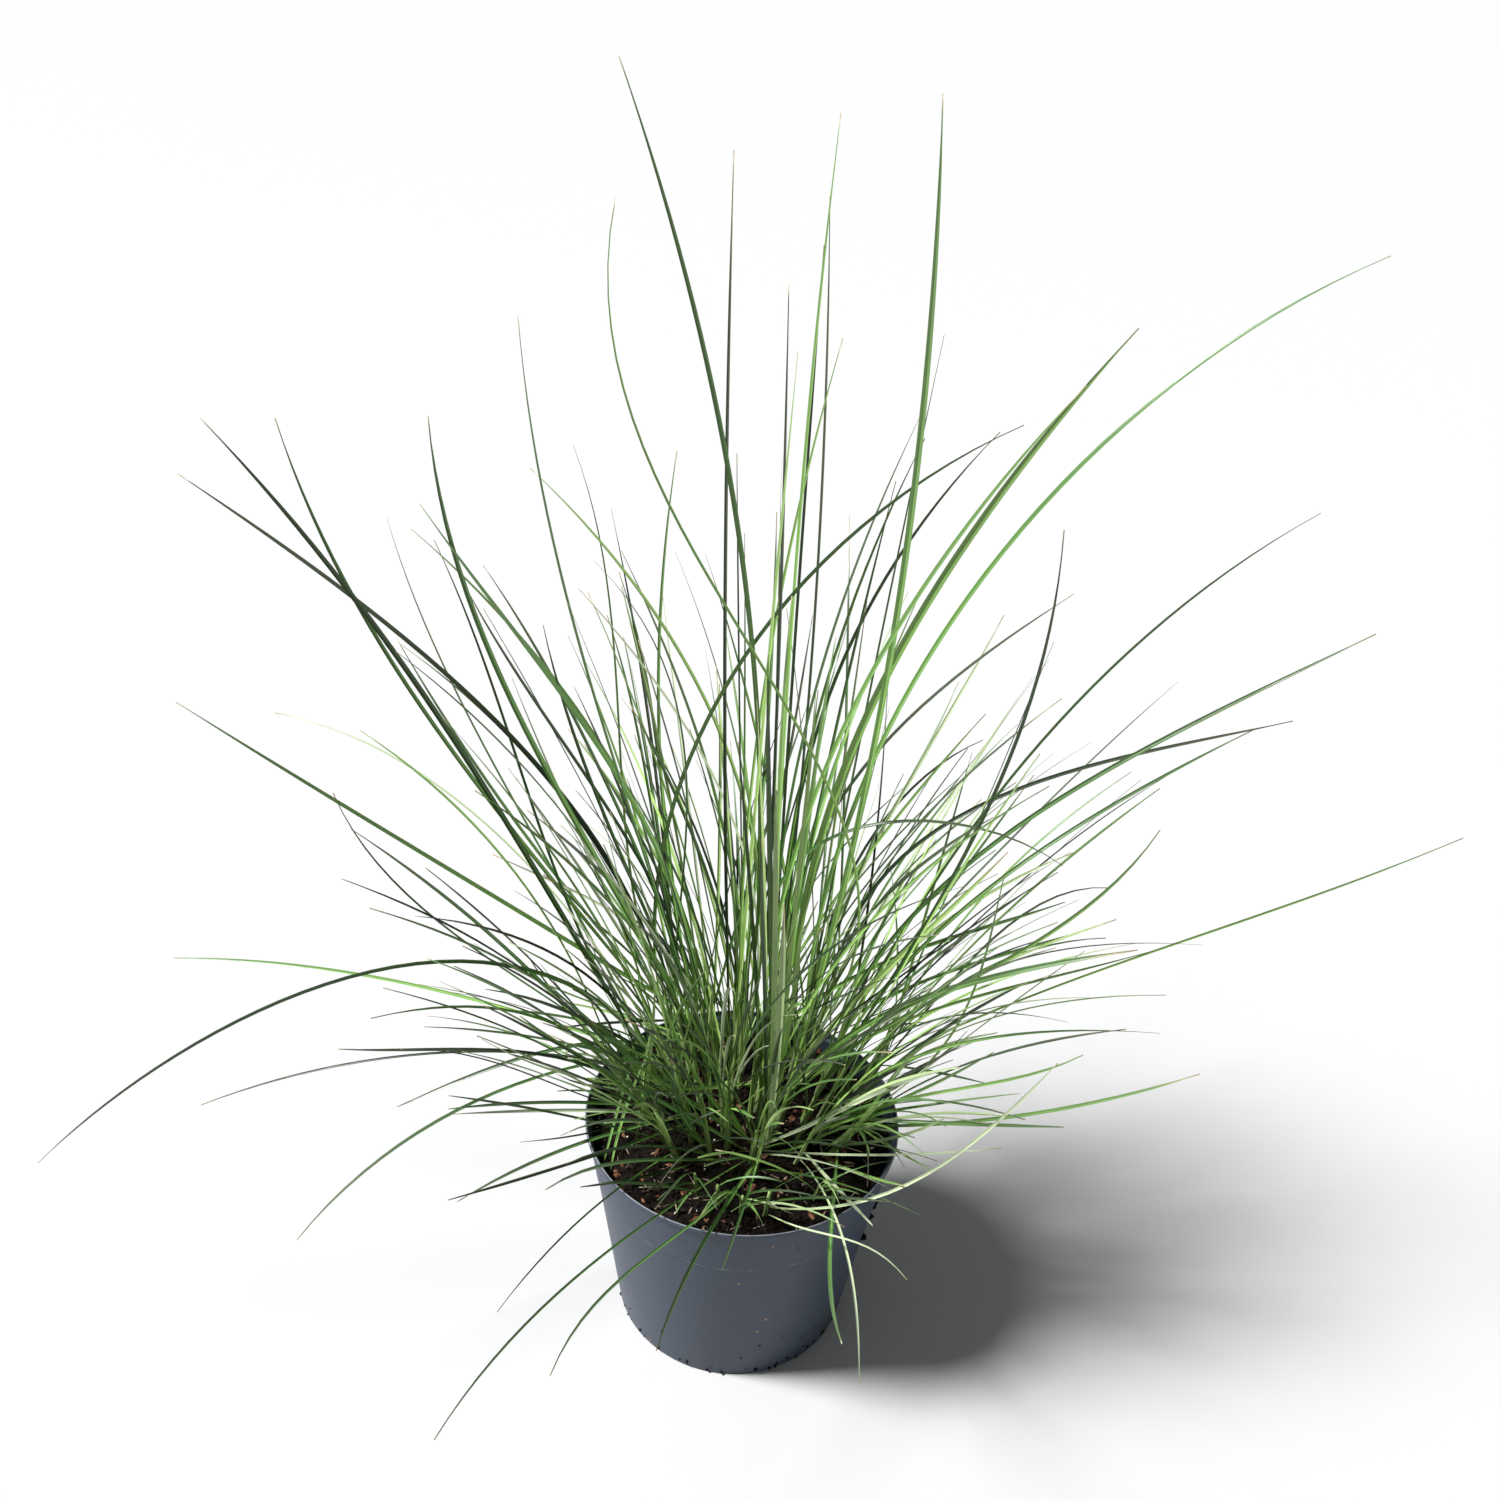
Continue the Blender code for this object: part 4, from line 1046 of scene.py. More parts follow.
# %% Midline points
POINT_SPACING = 0.018
LEAST_POINTS, MOST_POINTS = 7, 44
STEM_POINTS = 6
SHEATH_OFFSET = 0.6
STEM_SHARE = (0.62, 0.34)
TAPER_POWER = 8.0
LEAST_WIDTH = 0.0007
WIDTH_LOW, WIDTH_HIGH = 0.74, 0.86
HEIGHT_LOW, HEIGHT_HIGH = 0.15, 0.55
WIDTH_OTHERS = 0.80
WIDTH_SLIM = 0.62
TWIST = (0.3, 1.6)
ROLL = 0.9
SHADE_SPREAD = (0.75, 0.80)
DRY_TIPS = (0.02, 0.02, 0.02, 0.02, 0.03, 0.05, 0.14)
SHADE_SEED = 53

Line = namedtuple("Line", "points half faces t along shade dry stem")


def blade_width(width, t):
    """Nearly even for most of the leaf, then drawn out to a point."""
    return width * min(1.0, 0.6 + 1.4 * t) * max(0.0, 1.0 - t ** TAPER_POWER)


def slimmed(leaf, seen):
    """A leaf at the width it has in the picture: slimmer low down, and slimmer where it isn't told apart."""
    share = (leaf.path[-1].z - HEIGHT_LOW) / (HEIGHT_HIGH - HEIGHT_LOW)
    factor = WIDTH_LOW + (WIDTH_HIGH - WIDTH_LOW) * max(0.0, min(1.0, share))
    if not seen:
        factor *= WIDTH_OTHERS
    elif shows_at(leaf, SLIM_TIPS):
        factor *= WIDTH_SLIM
    return leaf._replace(width=leaf.width * factor)


def midline(leaf, sheathed):
    """The points of a leaf: up the stem as a sheath from the foot of its shoot, then out along the blade."""
    shoot = all_shoots[leaf.shoot]
    path = leaf.path
    length = sum((b - a).length for a, b in zip(path, path[1:]))
    count = min(MOST_POINTS, max(LEAST_POINTS, round(length / POINT_SPACING) + 4))
    blade = [along(path, i / (count - 1)) for i in range(count)]
    axis = (shoot.top - shoot.foot).normalized()
    climb = (path[0] - shoot.foot).dot(axis)
    if not sheathed or climb < 0.006:
        return [], blade
    lean = path[1] - path[0]
    out = (lean - axis * lean.dot(axis)).normalized() * shoot.radius * SHEATH_OFFSET
    blade[0] = blade[0] + out * 0.8
    return [shoot.foot + axis * climb * share + out for share in (0.0, 0.4, 0.8)], blade


def leaf_line(leaf, draw, sheathed=True, seen=False, shade=None):
    """A leaf's midline with its width, facing, shade and dryness at each point.

    A leaf drawn from the picture was seen from its broad side, so it turns that side to the eye."""
    sheath, blade = midline(leaf, sheathed)
    points = sheath + blade
    side = Vector(((blade[-1] - blade[0]).yx * Vector((-1, 1))).to_3d()).normalized()
    twist = draw.uniform(*TWIST) * draw.choice((-1, 1))
    roll = draw.uniform(-ROLL, ROLL)
    drawn_shade = draw.betavariate(*SHADE_SPREAD)
    dry = draw.choice(DRY_TIPS)
    faces, half, ts, alongs = [], [], [], []
    travelled = draw.uniform(0, 3)
    for i, point in enumerate(points):
        t = max(0.0, (i - len(sheath)) / (len(blade) - 1))
        forward = (points[min(i + 1, len(points) - 1)] - points[max(i - 1, 0)]).normalized()
        flat = (side - forward * side.dot(forward)).normalized()
        face = forward.cross(flat)
        if seen:
            to_eye = EYE - point
            aim = (to_eye - forward * to_eye.dot(forward)).normalized()
            share = min(1.0, t / 0.3)
            face = (face * (1 - share) + aim * share).normalized()
            turn = roll * share + twist * 0.3 * t
        else:
            turn = roll * min(1.0, t * 5) + twist * t ** 1.4
        faces.append(Matrix.Rotation(turn, 3, forward) @ face)
        travelled += (point - points[max(i - 1, 0)]).length * 10
        half.append(max(blade_width(leaf.width, t), LEAST_WIDTH) / 2)
        ts.append(t)
        alongs.append(travelled)
    return Line(points, half, faces, ts, alongs, drawn_shade if shade is None else shade, dry, 0.0)


def stem_line(shoot):
    """A shoot's stem, thickest at its foot and thinner towards its top."""
    points, half, alongs = [], [], []
    for i in range(STEM_POINTS):
        share = i / (STEM_POINTS - 1)
        points.append(shoot.foot.lerp(shoot.top, share))
        half.append(shoot.radius * (STEM_SHARE[0] * (1 - share) + STEM_SHARE[1] * share))
        alongs.append(share * (shoot.top - shoot.foot).length)
    count = len(points)
    return Line(points, half, [Vector((1, 0, 0))] * count, [0.0] * count, alongs, 0.5, 0.0, 1.0)


def lines_object(name, lines):
    """A mesh of open lines that holds each line's numbers on its points."""
    vertices, edges = [], []
    for line in lines:
        first = len(vertices)
        vertices.extend(line.points)
        edges.extend((first + i, first + i + 1) for i in range(len(line.points) - 1))
    mesh = bpy.data.meshes.new(name)
    mesh.from_pydata([tuple(v) for v in vertices], edges, [])
    numbers = {
        "half_width": [h for line in lines for h in line.half],
        "leaf_t": [t for line in lines for t in line.t],
        "along": [a for line in lines for a in line.along],
        "shade": [line.shade for line in lines for _ in line.points],
        "dry": [line.dry for line in lines for _ in line.points],
        "stem": [line.stem for line in lines for _ in line.points],
    }
    for key, values in numbers.items():
        mesh.attributes.new(key, "FLOAT", "POINT").data.foreach_set("value", values)
    faces = [c for line in lines for face in line.faces for c in face]
    mesh.attributes.new("face_way", "FLOAT_VECTOR", "POINT").data.foreach_set("vector", faces)
    obj = bpy.data.objects.new(name, mesh)
    bpy.context.scene.collection.objects.link(obj)
    return obj


# %% The sweep
def named(tree, name, data_type="FLOAT"):
    """A number or a vector stored on the points under a name."""
    return add_node(tree, "GeometryNodeInputNamedAttribute", {"Name": name}, data_type=data_type).outputs[0]


def store(tree, geometry, name, value):
    """The geometry with a number stored on its points."""
    links = {"Geometry": geometry, "Name": name, "Value": value}
    return add_node(tree, "GeometryNodeStoreNamedAttribute", links).outputs[0]


def section(tree, sides, thickness):
    """A flattened ring that knows how far across it each point is, and which points are on the underside."""
    ring_node = add_node(tree, "GeometryNodeCurvePrimitiveCircle", {"Resolution": sides, "Radius": 1.0})
    place = add_node(tree, "GeometryNodeInputPosition").outputs[0]
    parts = add_node(tree, "ShaderNodeSeparateXYZ", {0: place})
    flat = store(tree, ring_node.outputs[0], "across", parts.outputs["Y"])
    flat = store(tree, flat, "under", maths(tree, "LESS_THAN", parts.outputs["X"], -0.01))
    x = maths(tree, "MULTIPLY", parts.outputs["X"], thickness)
    moved = add_node(tree, "ShaderNodeCombineXYZ", {"X": x, "Y": parts.outputs["Y"], "Z": parts.outputs["Z"]})
    return add_node(tree, "GeometryNodeSetPosition", {"Geometry": flat, "Position": moved.outputs[0]}).outputs[0]


def sweep_tree():
    """Lines to leaves: a folded strip along each leaf's line, and a round stem along each stem's."""
    tree, start, end = new_tree("leaf_sweep", "GeometryNodeTree", (
        ("Lines", "NodeSocketGeometry", None),
        ("Thickness", "NodeSocketFloat", 0.12),
        ("Fold", "NodeSocketFloat", 0.7),
        ("Sides", "NodeSocketInt", 8),
        ("Finish", "NodeSocketMaterial", None),
    ), (("Leaves", "NodeSocketGeometry"),))
    split = add_node(tree, "GeometryNodeSeparateGeometry", {
        "Geometry": start.outputs["Lines"],
        "Selection": maths(tree, "GREATER_THAN", named(tree, "stem"), 0.5),
    })
    swept = []
    for geometry, thickness in ((split.outputs["Inverted"], start.outputs["Thickness"]),
                                (split.outputs["Selection"], 1.0)):
        curve = add_node(tree, "GeometryNodeMeshToCurve", {"Mesh": geometry}).outputs[0]
        curve = add_node(tree, "GeometryNodeSetCurveNormal", {
            "Curve": curve, "Normal": named(tree, "face_way", "FLOAT_VECTOR")}, mode="FREE").outputs[0]
        mesh = add_node(tree, "GeometryNodeCurveToMesh", {
            "Curve": curve,
            "Profile Curve": section(tree, start.outputs["Sides"], thickness),
            "Scale": named(tree, "half_width"),
            "Fill Caps": True,
        }).outputs[0]
        swept.append(mesh)
    t = named(tree, "leaf_t")
    edge = maths(tree, "ABSOLUTE", named(tree, "across"))
    fold = maths(tree, "MULTIPLY", start.outputs["Fold"], maths(tree, "SUBTRACT", 1.2, maths(tree, "MULTIPLY", t, 0.65)))
    rise = maths(tree, "MULTIPLY", maths(tree, "MULTIPLY", edge, fold), named(tree, "half_width"))
    lift = add_node(tree, "ShaderNodeVectorMath", {
        0: named(tree, "face_way", "FLOAT_VECTOR"), "Scale": rise}, operation="SCALE").outputs[0]
    folded = add_node(tree, "GeometryNodeSetPosition", {"Geometry": swept[0], "Offset": lift}).outputs[0]
    joined = add_node(tree, "GeometryNodeJoinGeometry")
    tree.links.new(folded, joined.inputs[0])
    tree.links.new(swept[1], joined.inputs[0])
    smooth = add_node(tree, "GeometryNodeSetShadeSmooth", {"Geometry": joined.outputs[0]}).outputs[0]
    blade = maths(tree, "LESS_THAN", named(tree, "stem"), 0.5)
    on_rib = maths(tree, "LESS_THAN", edge, 0.01)
    on_margin = maths(tree, "GREATER_THAN", edge, 0.99)
    crease = maths(tree, "MULTIPLY", blade, maths(tree, "ADD", on_rib, on_margin))
    smooth = add_node(tree, "GeometryNodeStoreNamedAttribute", {
        "Geometry": smooth, "Name": "sharp_edge", "Value": crease}, data_type="BOOLEAN", domain="EDGE").outputs[0]
    real = add_node(tree, "GeometryNodeRealizeInstances", {"Geometry": smooth}).outputs[0]
    done = add_node(tree, "GeometryNodeSetMaterial", {
        "Geometry": real, "Material": start.outputs["Finish"]}).outputs[0]
    tree.links.new(done, end.inputs[0])
    return tree


# %% Shades seen in the picture, with painted shadow on the dusky leaves and painted glare on the palest
# Each class copies how dark or pale a leaf looks. Besides the leaf's own green, the dusky class paints the shadow on
# it and the palest class paints the glare.
LEAF_TONES_WITH_PAINTED_LIGHT = (
    (0.04, ((734, 150), (830, 196), (789, 284), (1074, 594), (201, 1105), (338, 1049), (178, 474), (400, 1049),
            (1058, 872), (1111, 888))),
    (0.20, ((200, 418), (824, 245), (1063, 866), (297, 1240), (397, 1107), (38, 1163), (483, 565), (1064, 530))),
    (0.36, ((842, 1344), (722, 1270), (1376, 634), (594, 561), (518, 315), (333, 793))),
    (0.26, ((550, 1376), (497, 1312), (434, 1440), (656, 1351))),
    (0.50, ((428, 416), (420, 504), (1138, 950), (1391, 256), (619, 56), (1024, 425), (1064, 1127), (1321, 513), (619, 572),
            (1106, 938), (959, 681))),
    (0.60, ((943, 93), (176, 702), (1083, 931), (1087, 385), (1200, 1074), (174, 958))),
    (0.74, ((1139, 328), (841, 113), (1160, 830),
            (616, 196), (1463, 838), (1152, 951), (1083, 1055))),
    (0.98, ((859, 1383), (907, 1280), (1058, 1063), (1002, 1148), (873, 1226))),
)
SLIM_TIPS = ((1064, 530), (1160, 830), (1083, 1055), (1004, 876), (275, 713), (333, 793), (841, 113),
             (616, 196), (1463, 838), (1106, 938), (1058, 872), (400, 1049), (992, 736), (434, 1440),
             (550, 1376), (497, 1312), (859, 1383), (907, 1280), (1002, 1148), (1058, 1063), (201, 1105), (1200, 1074))


def shows_at(leaf, tips):
    """Whether a leaf's tip shows at one of some pixels."""
    seen_tip = pixel_of(leaf.path[-1])
    return any((seen_tip - Vector(tip)).length < 0.5 for tip in tips)


def shade_of(leaf):
    """The shade that the picture gives a leaf, painted shadow and painted glare included, or None where it isn't told
    apart.
    """
    return next((shade for shade, tips in LEAF_TONES_WITH_PAINTED_LIGHT if shows_at(leaf, tips)), None)


# %% Make the shoots
def tidy_normals(obj):
    """Turn a piece's faces outwards."""
    work = bmesh.new()
    work.from_mesh(obj.data)
    bmesh.ops.recalc_face_normals(work, faces=work.faces)
    work.to_mesh(obj.data)
    work.free()


sweep = sweep_tree()
draw = random.Random(SHADE_SEED)
triangles = 0
for number, shoot in enumerate(all_shoots):
    lines = [stem_line(shoot)]
    for rank, leaf in enumerate(all_leaves):
        if leaf.shoot == number:
            seen = rank < len(SEEN_LEAVES)
            lines.append(leaf_line(slimmed(leaf, seen), draw, seen=seen, shade=shade_of(leaf)))
    lines += [leaf_line(leaf, draw) for leaf in fine_leaves + young_leaves if leaf.shoot == number]
    for leaf, shade in near_leaves:
        if leaf.shoot == number:
            lines.append(leaf_line(leaf, draw, sheathed=False, seen=True, shade=shade))
    piece = lines_object(f"shoot_{number + 1:02d}_leaves", lines)
    run_tree(piece, sweep, {"Thickness": 0.12, "Fold": 0.7, "Sides": 8, "Finish": leaf_finish})
    tidy_normals(piece)
    keep_piece(piece, f"shoot_{number + 1:02d}")
    triangles += sum(len(face.vertices) - 2 for face in piece.data.polygons)
print(len(all_shoots), "shoots,", triangles, "triangles")

# %% [markdown]
# ## The soil
# Potting soil is dark peat in crumbs, with reddish bark chips, pale root fibres and a few white grains of
# perlite. The plug of soil is one mesh with a fine, lumpy top. The loose bits are scattered on it by one
# node tree that takes a shape, how many, how big and how tilted, so each kind of bit is one call.

# %% Soil materials
def grain_material(name, stops, scale, roughness, strength, gloss=0.3):
    """A mottled colour between stops, with a rough surface."""
    material, tree, shader = new_material(name, roughness)
    shader.inputs["Specular IOR Level"].default_value = gloss
    place = add_node(tree, "ShaderNodeTexCoord").outputs["Object"]
    spots, _ = grain(tree, place, scale, 6.0)
    tree.links.new(ramp(tree, spots, stops), shader.inputs["Base Color"])
    bump = add_node(tree, "ShaderNodeBump", {"Height": spots, "Strength": strength, "Distance": 0.001})
    tree.links.new(bump.outputs[0], shader.inputs["Normal"])
    return material


peat = grain_material("peat", [
    (0.35, (0.002, 0.0015, 0.001)), (0.60, (0.009, 0.006, 0.004)), (0.80, (0.040, 0.026, 0.018))], 320, 0.9, 0.8, 0.1)
bark = grain_material("bark", [
    (0.35, (0.022, 0.009, 0.006)), (0.52, (0.120, 0.040, 0.018)), (0.75, (0.380, 0.190, 0.095))], 110, 0.7, 0.6)
wood = grain_material("wood", [
    (0.30, (0.130, 0.070, 0.040)), (0.70, (0.460, 0.340, 0.230))], 140, 0.8, 0.4)
fibre = grain_material("fibre", [
    (0.30, (0.120, 0.055, 0.040)), (0.70, (0.440, 0.350, 0.260))], 60, 0.8, 0.3)
perlite = grain_material("perlite", [
    (0.30, (0.600, 0.580, 0.540)), (0.70, (0.820, 0.810, 0.780))], 300, 0.9, 0.4)

# %% The plug of soil
THIN_WALL = 0.0012
FINE_SOIL_RINGS = 44
FINE_SOIL_SIDES = 144
CRUMB_LUMP = 0.0024
CRUMB_SIZE = 0.0060


def fine_soil_height(x, y):
    """The soil's top with its small clods."""
    clods = noise.noise(Vector((x, y, 0.3)) / CRUMB_SIZE) + 0.5 * noise.noise(Vector((x, y, 0.7)) / CRUMB_SIZE * 2)
    return soil_height(x, y) + CRUMB_LUMP * clods


def soil_plug():
    """The soil that fills the pot, its top on fine rings."""
    bottom = FLOOR_THICKNESS + PLAY
    edge = POT_HEIGHT - SOIL_EDGE_BELOW_RIM
    across, over = Vector((1, 0, 0)), Vector((0, 1, 0))
    low = wall_radius(bottom) - THIN_WALL
    high = wall_radius(edge - 0.004) - THIN_WALL
    rings = [ring(Vector((0, 0, bottom)), across, over, low, FINE_SOIL_SIDES)]
    rings.append(ring(Vector((0, 0, edge - 0.004)), across, over, high, FINE_SOIL_SIDES))
    for k in range(FINE_SOIL_RINGS):
        circle = ring(Vector(), across, over, high * (1 - k / FINE_SOIL_RINGS), FINE_SOIL_SIDES)
        rings.append([Vector((p.x, p.y, fine_soil_height(p.x, p.y))) for p in circle])
    ends = (Vector((0, 0, bottom)), Vector((0, 0, fine_soil_height(0, 0))))
    return add_object("soil_plug", *tube(rings, *ends))


soil = soil_plug()
soil.data.shade_smooth()
soil.data.materials.append(peat)
print("soil plug:", len(soil.data.polygons), "faces")

# %% The scatter
def scatter_tree():
    """Bits of one shape, scattered over the upward faces of a surface."""
    tree, start, end = new_tree("soil_scatter", "GeometryNodeTree", (
        ("Surface", "NodeSocketGeometry", None),
        ("Bit", "NodeSocketObject", None),
        ("Bits per m2", "NodeSocketFloat", 1000.0),
        ("Smallest", "NodeSocketFloat", 0.5),
        ("Largest", "NodeSocketFloat", 1.0),
        ("Tilt", "NodeSocketFloat", 0.5),
        ("Least Upward", "NodeSocketFloat", 0.3),
        ("Seed", "NodeSocketInt", 1),
        ("Finish", "NodeSocketMaterial", None),
    ), (("Bits", "NodeSocketGeometry"),))
    normal = add_node(tree, "GeometryNodeInputNormal").outputs[0]
    up = add_node(tree, "ShaderNodeSeparateXYZ", {0: normal}).outputs["Z"]
    points = add_node(tree, "GeometryNodeDistributePointsOnFaces", {
        "Mesh": start.outputs["Surface"],
        "Selection": maths(tree, "GREATER_THAN", up, start.outputs["Least Upward"]),
        "Density": start.outputs["Bits per m2"],
        "Seed": start.outputs["Seed"],
    })
    tilt = start.outputs["Tilt"]
    back = maths(tree, "MULTIPLY", tilt, -1.0)
    low = add_node(tree, "ShaderNodeCombineXYZ", {"X": back, "Y": back, "Z": 0.0}).outputs[0]
    high = add_node(tree, "ShaderNodeCombineXYZ", {"X": tilt, "Y": tilt, "Z": 2 * math.pi}).outputs[0]
    turn = add_node(tree, "FunctionNodeRandomValue", {
        0: low, 1: high, "Seed": start.outputs["Seed"]}, data_type="FLOAT_VECTOR").outputs[0]
    size = add_node(tree, "FunctionNodeRandomValue", {
        2: start.outputs["Smallest"], 3: start.outputs["Largest"], "Seed": start.outputs["Seed"]}).outputs[1]
    shape = add_node(tree, "GeometryNodeObjectInfo", {"Object": start.outputs["Bit"]}).outputs["Geometry"]
    placed = add_node(tree, "GeometryNodeInstanceOnPoints", {
        "Points": points.outputs["Points"],
        "Instance": shape,
        "Rotation": add_node(tree, "FunctionNodeEulerToRotation", {"Euler": turn}).outputs[0],
        "Scale": size,
    }).outputs[0]
    real = add_node(tree, "GeometryNodeRealizeInstances", {"Geometry": placed}).outputs[0]
    done = add_node(tree, "GeometryNodeSetMaterial", {
        "Geometry": real, "Material": start.outputs["Finish"]}).outputs[0]
    tree.links.new(done, end.inputs[0])
    return tree


scatter = scatter_tree()

# %% The loose bits
def rough_lump(name, size, roughness, seed):
    """A small irregular lump of the given length, width and height."""
    work = bmesh.new()
    bmesh.ops.create_icosphere(work, subdivisions=1, radius=0.5)
    for vertex in work.verts:
        push = 1 + roughness * noise.noise(vertex.co * 3 + Vector((seed, 0, 0)))
        vertex.co = Vector((vertex.co.x * size[0], vertex.co.y * size[1], vertex.co.z * size[2])) * push
    mesh = bpy.data.meshes.new(name)
    work.to_mesh(mesh)
    work.free()
    return bpy.data.objects.new(name, mesh)


BITS = (
    # name, size, roughness, bits per m2, smallest, largest, tilt, finish
    ("peat_crumbs", (0.0036, 0.0028, 0.0024), 0.7, 80000, 0.30, 1.3, 1.5, peat),
    ("bark_chips", (0.0090, 0.0042, 0.0018), 0.9, 2300, 0.30, 1.3, 0.9, bark),
    ("wood_splinters", (0.0075, 0.0017, 0.0011), 0.6, 2600, 0.35, 1.4, 0.7, wood),
    ("root_fibres", (0.0180, 0.0008, 0.0007), 0.2, 3200, 0.35, 1.3, 0.4, fibre),
    ("perlite_grains", (0.0021, 0.0019, 0.0017), 0.4, 700, 0.50, 1.2, 1.5, perlite),
)


def scatter_bits(name, surface, size, roughness, density, smallest, largest, tilt, finish, seed, upward=0.3):
    """Bits of one kind over a surface, as one piece."""
    bit = rough_lump(name + "_bit", size, roughness, seed)
    piece = bpy.data.objects.new(name, surface.data.copy())
    bpy.context.scene.collection.objects.link(piece)
    run_tree(piece, scatter, {
        "Bit": bit, "Bits per m2": density, "Smallest": smallest, "Largest": largest,
        "Tilt": tilt, "Least Upward": upward, "Seed": seed + 3, "Finish": finish,
    })
    bpy.data.objects.remove(bit)
    print(name, len(piece.data.polygons), "faces")
    return piece


for seed, (name, *rest) in enumerate(BITS):
    keep_piece(scatter_bits(name, soil, *rest, seed))
keep_piece(soil, "soil")


# %% The white bead
BEAD_AT = (774, 1205)
BEAD_RADIUS = 0.0019


def white_bead():
    """The one round bead of plant food that shows on the soil."""
    spot = at_height(BEAD_AT, POT_HEIGHT - SOIL_EDGE_BELOW_RIM + SOIL_MOUND / 2)
    spot.z = fine_soil_height(spot.x, spot.y) + BEAD_RADIUS * 0.9
    work = bmesh.new()
    bmesh.ops.create_uvsphere(work, u_segments=20, v_segments=12, radius=BEAD_RADIUS)
    bmesh.ops.translate(work, verts=work.verts, vec=spot)
    mesh = bpy.data.meshes.new("white_bead")
    work.to_mesh(mesh)
    work.free()
    obj = bpy.data.objects.new("white_bead", mesh)
    bpy.context.scene.collection.objects.link(obj)
    mesh.shade_smooth()
    mesh.materials.append(perlite)
    return obj


keep_piece(white_bead())

# %% [markdown]
# ## The pot
# A nursery pot is thin moulded plastic: a tapered wall, a slightly wider band under the rim, a rounded
# lip and holes in the floor. Turning a profile about the axis gives all of it, and rounding the corners of
# the profile catches the light as the real edges do.

# %% Pot material
BAND_AT = POT_HEIGHT - BAND_HEIGHT + 0.001


def pot_material():
    """Dull slate-grey plastic, rubbed pale on the band's step, with a painted highlight along the top of the rim,
    scuffed, and spotted with soil towards the foot.
    """
    material, tree, shader = new_material("pot_plastic", 0.5)
    shader.inputs["Specular IOR Level"].default_value = 0.2
    place = add_node(tree, "ShaderNodeTexCoord").outputs["Object"]
    height = add_node(tree, "ShaderNodeSeparateXYZ", {0: place}).outputs["Z"]
    cloud, _ = grain(tree, place, 14.0, 5.0)
    base = ramp(tree, cloud, [(0.30, (0.042, 0.055, 0.080)), (0.75, (0.056, 0.071, 0.100))])
    stretched = add_node(tree, "ShaderNodeMapping", {"Vector": place, "Scale": (1.0, 1.0, 26.0)}).outputs[0]
    _, scuff = grain(tree, stretched, 22.0, 8.0, 0.62, 0.80)
    scuffed = mix(tree, maths(tree, "MULTIPLY", scuff, 0.25), base, (0.20, 0.21, 0.23))
    from_band = maths(tree, "ABSOLUTE", maths(tree, "SUBTRACT", height, BAND_AT))
    on_band = step_between(tree, from_band, 0.0010, 0.0003)
    chips, chipped = grain(tree, place, 130.0, 3.0, 0.46, 0.64)
    band_wear_and_rim_highlight = maths(tree, "MULTIPLY", on_band, chipped)
    # The top of the rim is painted pale: a painted highlight where the lip catches the light, joined to the real wear
    # on the band's step.
    band_wear_and_rim_highlight = maths(tree, "MAXIMUM", band_wear_and_rim_highlight, step_between(tree, height, POT_HEIGHT - 0.0005, POT_HEIGHT))
    wear_and_highlight_paled = mix(tree, maths(tree, "MULTIPLY", band_wear_and_rim_highlight, 0.5), scuffed, (0.32, 0.33, 0.35))
    cells = add_node(tree, "ShaderNodeTexVoronoi", {"Vector": place, "Scale": 190.0})
    picked = add_node(tree, "ShaderNodeSeparateXYZ", {0: cells.outputs["Color"]}).outputs["X"]
    low = step_between(tree, height, 0.050, 0.0)
    rarity = maths(tree, "SUBTRACT", 0.985, maths(tree, "MULTIPLY", low, 0.09))
    spot = step_between(tree, cells.outputs["Distance"], 0.30, 0.16)
    soiled = maths(tree, "MULTIPLY", spot, maths(tree, "GREATER_THAN", picked, rarity))
    tone = ramp(tree, chips, [(0.40, (0.018, 0.012, 0.009)), (0.62, (0.340, 0.230, 0.160))])
    done = mix(tree, soiled, wear_and_highlight_paled, tone)
    tree.links.new(done, shader.inputs["Base Color"])
    rough = maths(tree, "ADD", maths(tree, "MULTIPLY", cloud, 0.25), 0.34)
    tree.links.new(maths(tree, "MAXIMUM", rough, soiled), shader.inputs["Roughness"])
    fine, _ = grain(tree, place, 900.0, 2.0)
    bump = add_node(tree, "ShaderNodeBump", {"Height": fine, "Strength": 0.15, "Distance": 0.0004})
    tree.links.new(bump.outputs[0], shader.inputs["Normal"])
    return material


plastic = pot_material()

# %% Turn the pot
FINE_SIDES = 160


def rounded(corner, before, after, radius, steps=4):
    """Points that round a corner of a profile."""
    corner, before, after = Vector(corner), Vector(before), Vector(after)
    first = corner + (before - corner).normalized() * radius
    last = corner + (after - corner).normalized() * radius
    points = []
    for i in range(steps + 1):
        t = i / steps
        points.append(first * (1 - t) ** 2 + corner * (2 * t * (1 - t)) + last * t ** 2)
    return [tuple(point) for point in points]


def pot_profile():
    """(radius, height) pairs from the middle of the underside round the wall to the middle of the floor."""
    band = POT_HEIGHT - BAND_HEIGHT
    lip = POT_HEIGHT - RIM_BEAD_HEIGHT
    corners = (
        ((FOOT_RADIUS, 0), 0.0024),
        ((wall_radius(band), band), 0.0003),
        ((wall_radius(band) + BAND_STEP, band + 0.0010), 0.0003),
        ((wall_radius(lip) + BAND_STEP, lip), 0.0004),
        ((RIM_RADIUS, lip + 0.0008), 0.0004),
        ((RIM_RADIUS, POT_HEIGHT), 0.0006),
        ((RIM_RADIUS - THIN_WALL, POT_HEIGHT), 0.0006),
        ((RIM_RADIUS - THIN_WALL, lip), 0.0005),
        ((wall_radius(lip - 0.002) - THIN_WALL, lip - 0.002), 0.0005),
        ((wall_radius(FLOOR_THICKNESS) - THIN_WALL, FLOOR_THICKNESS), 0.0015),
    )
    places = [(0, 0)] + [corner for corner, _ in corners] + [(0, FLOOR_THICKNESS)]
    profile = [(0, 0)]
    for i, (corner, radius) in enumerate(corners):
        profile += rounded(corner, places[i], places[i + 2], radius)
    return profile + [(0, FLOOR_THICKNESS)]


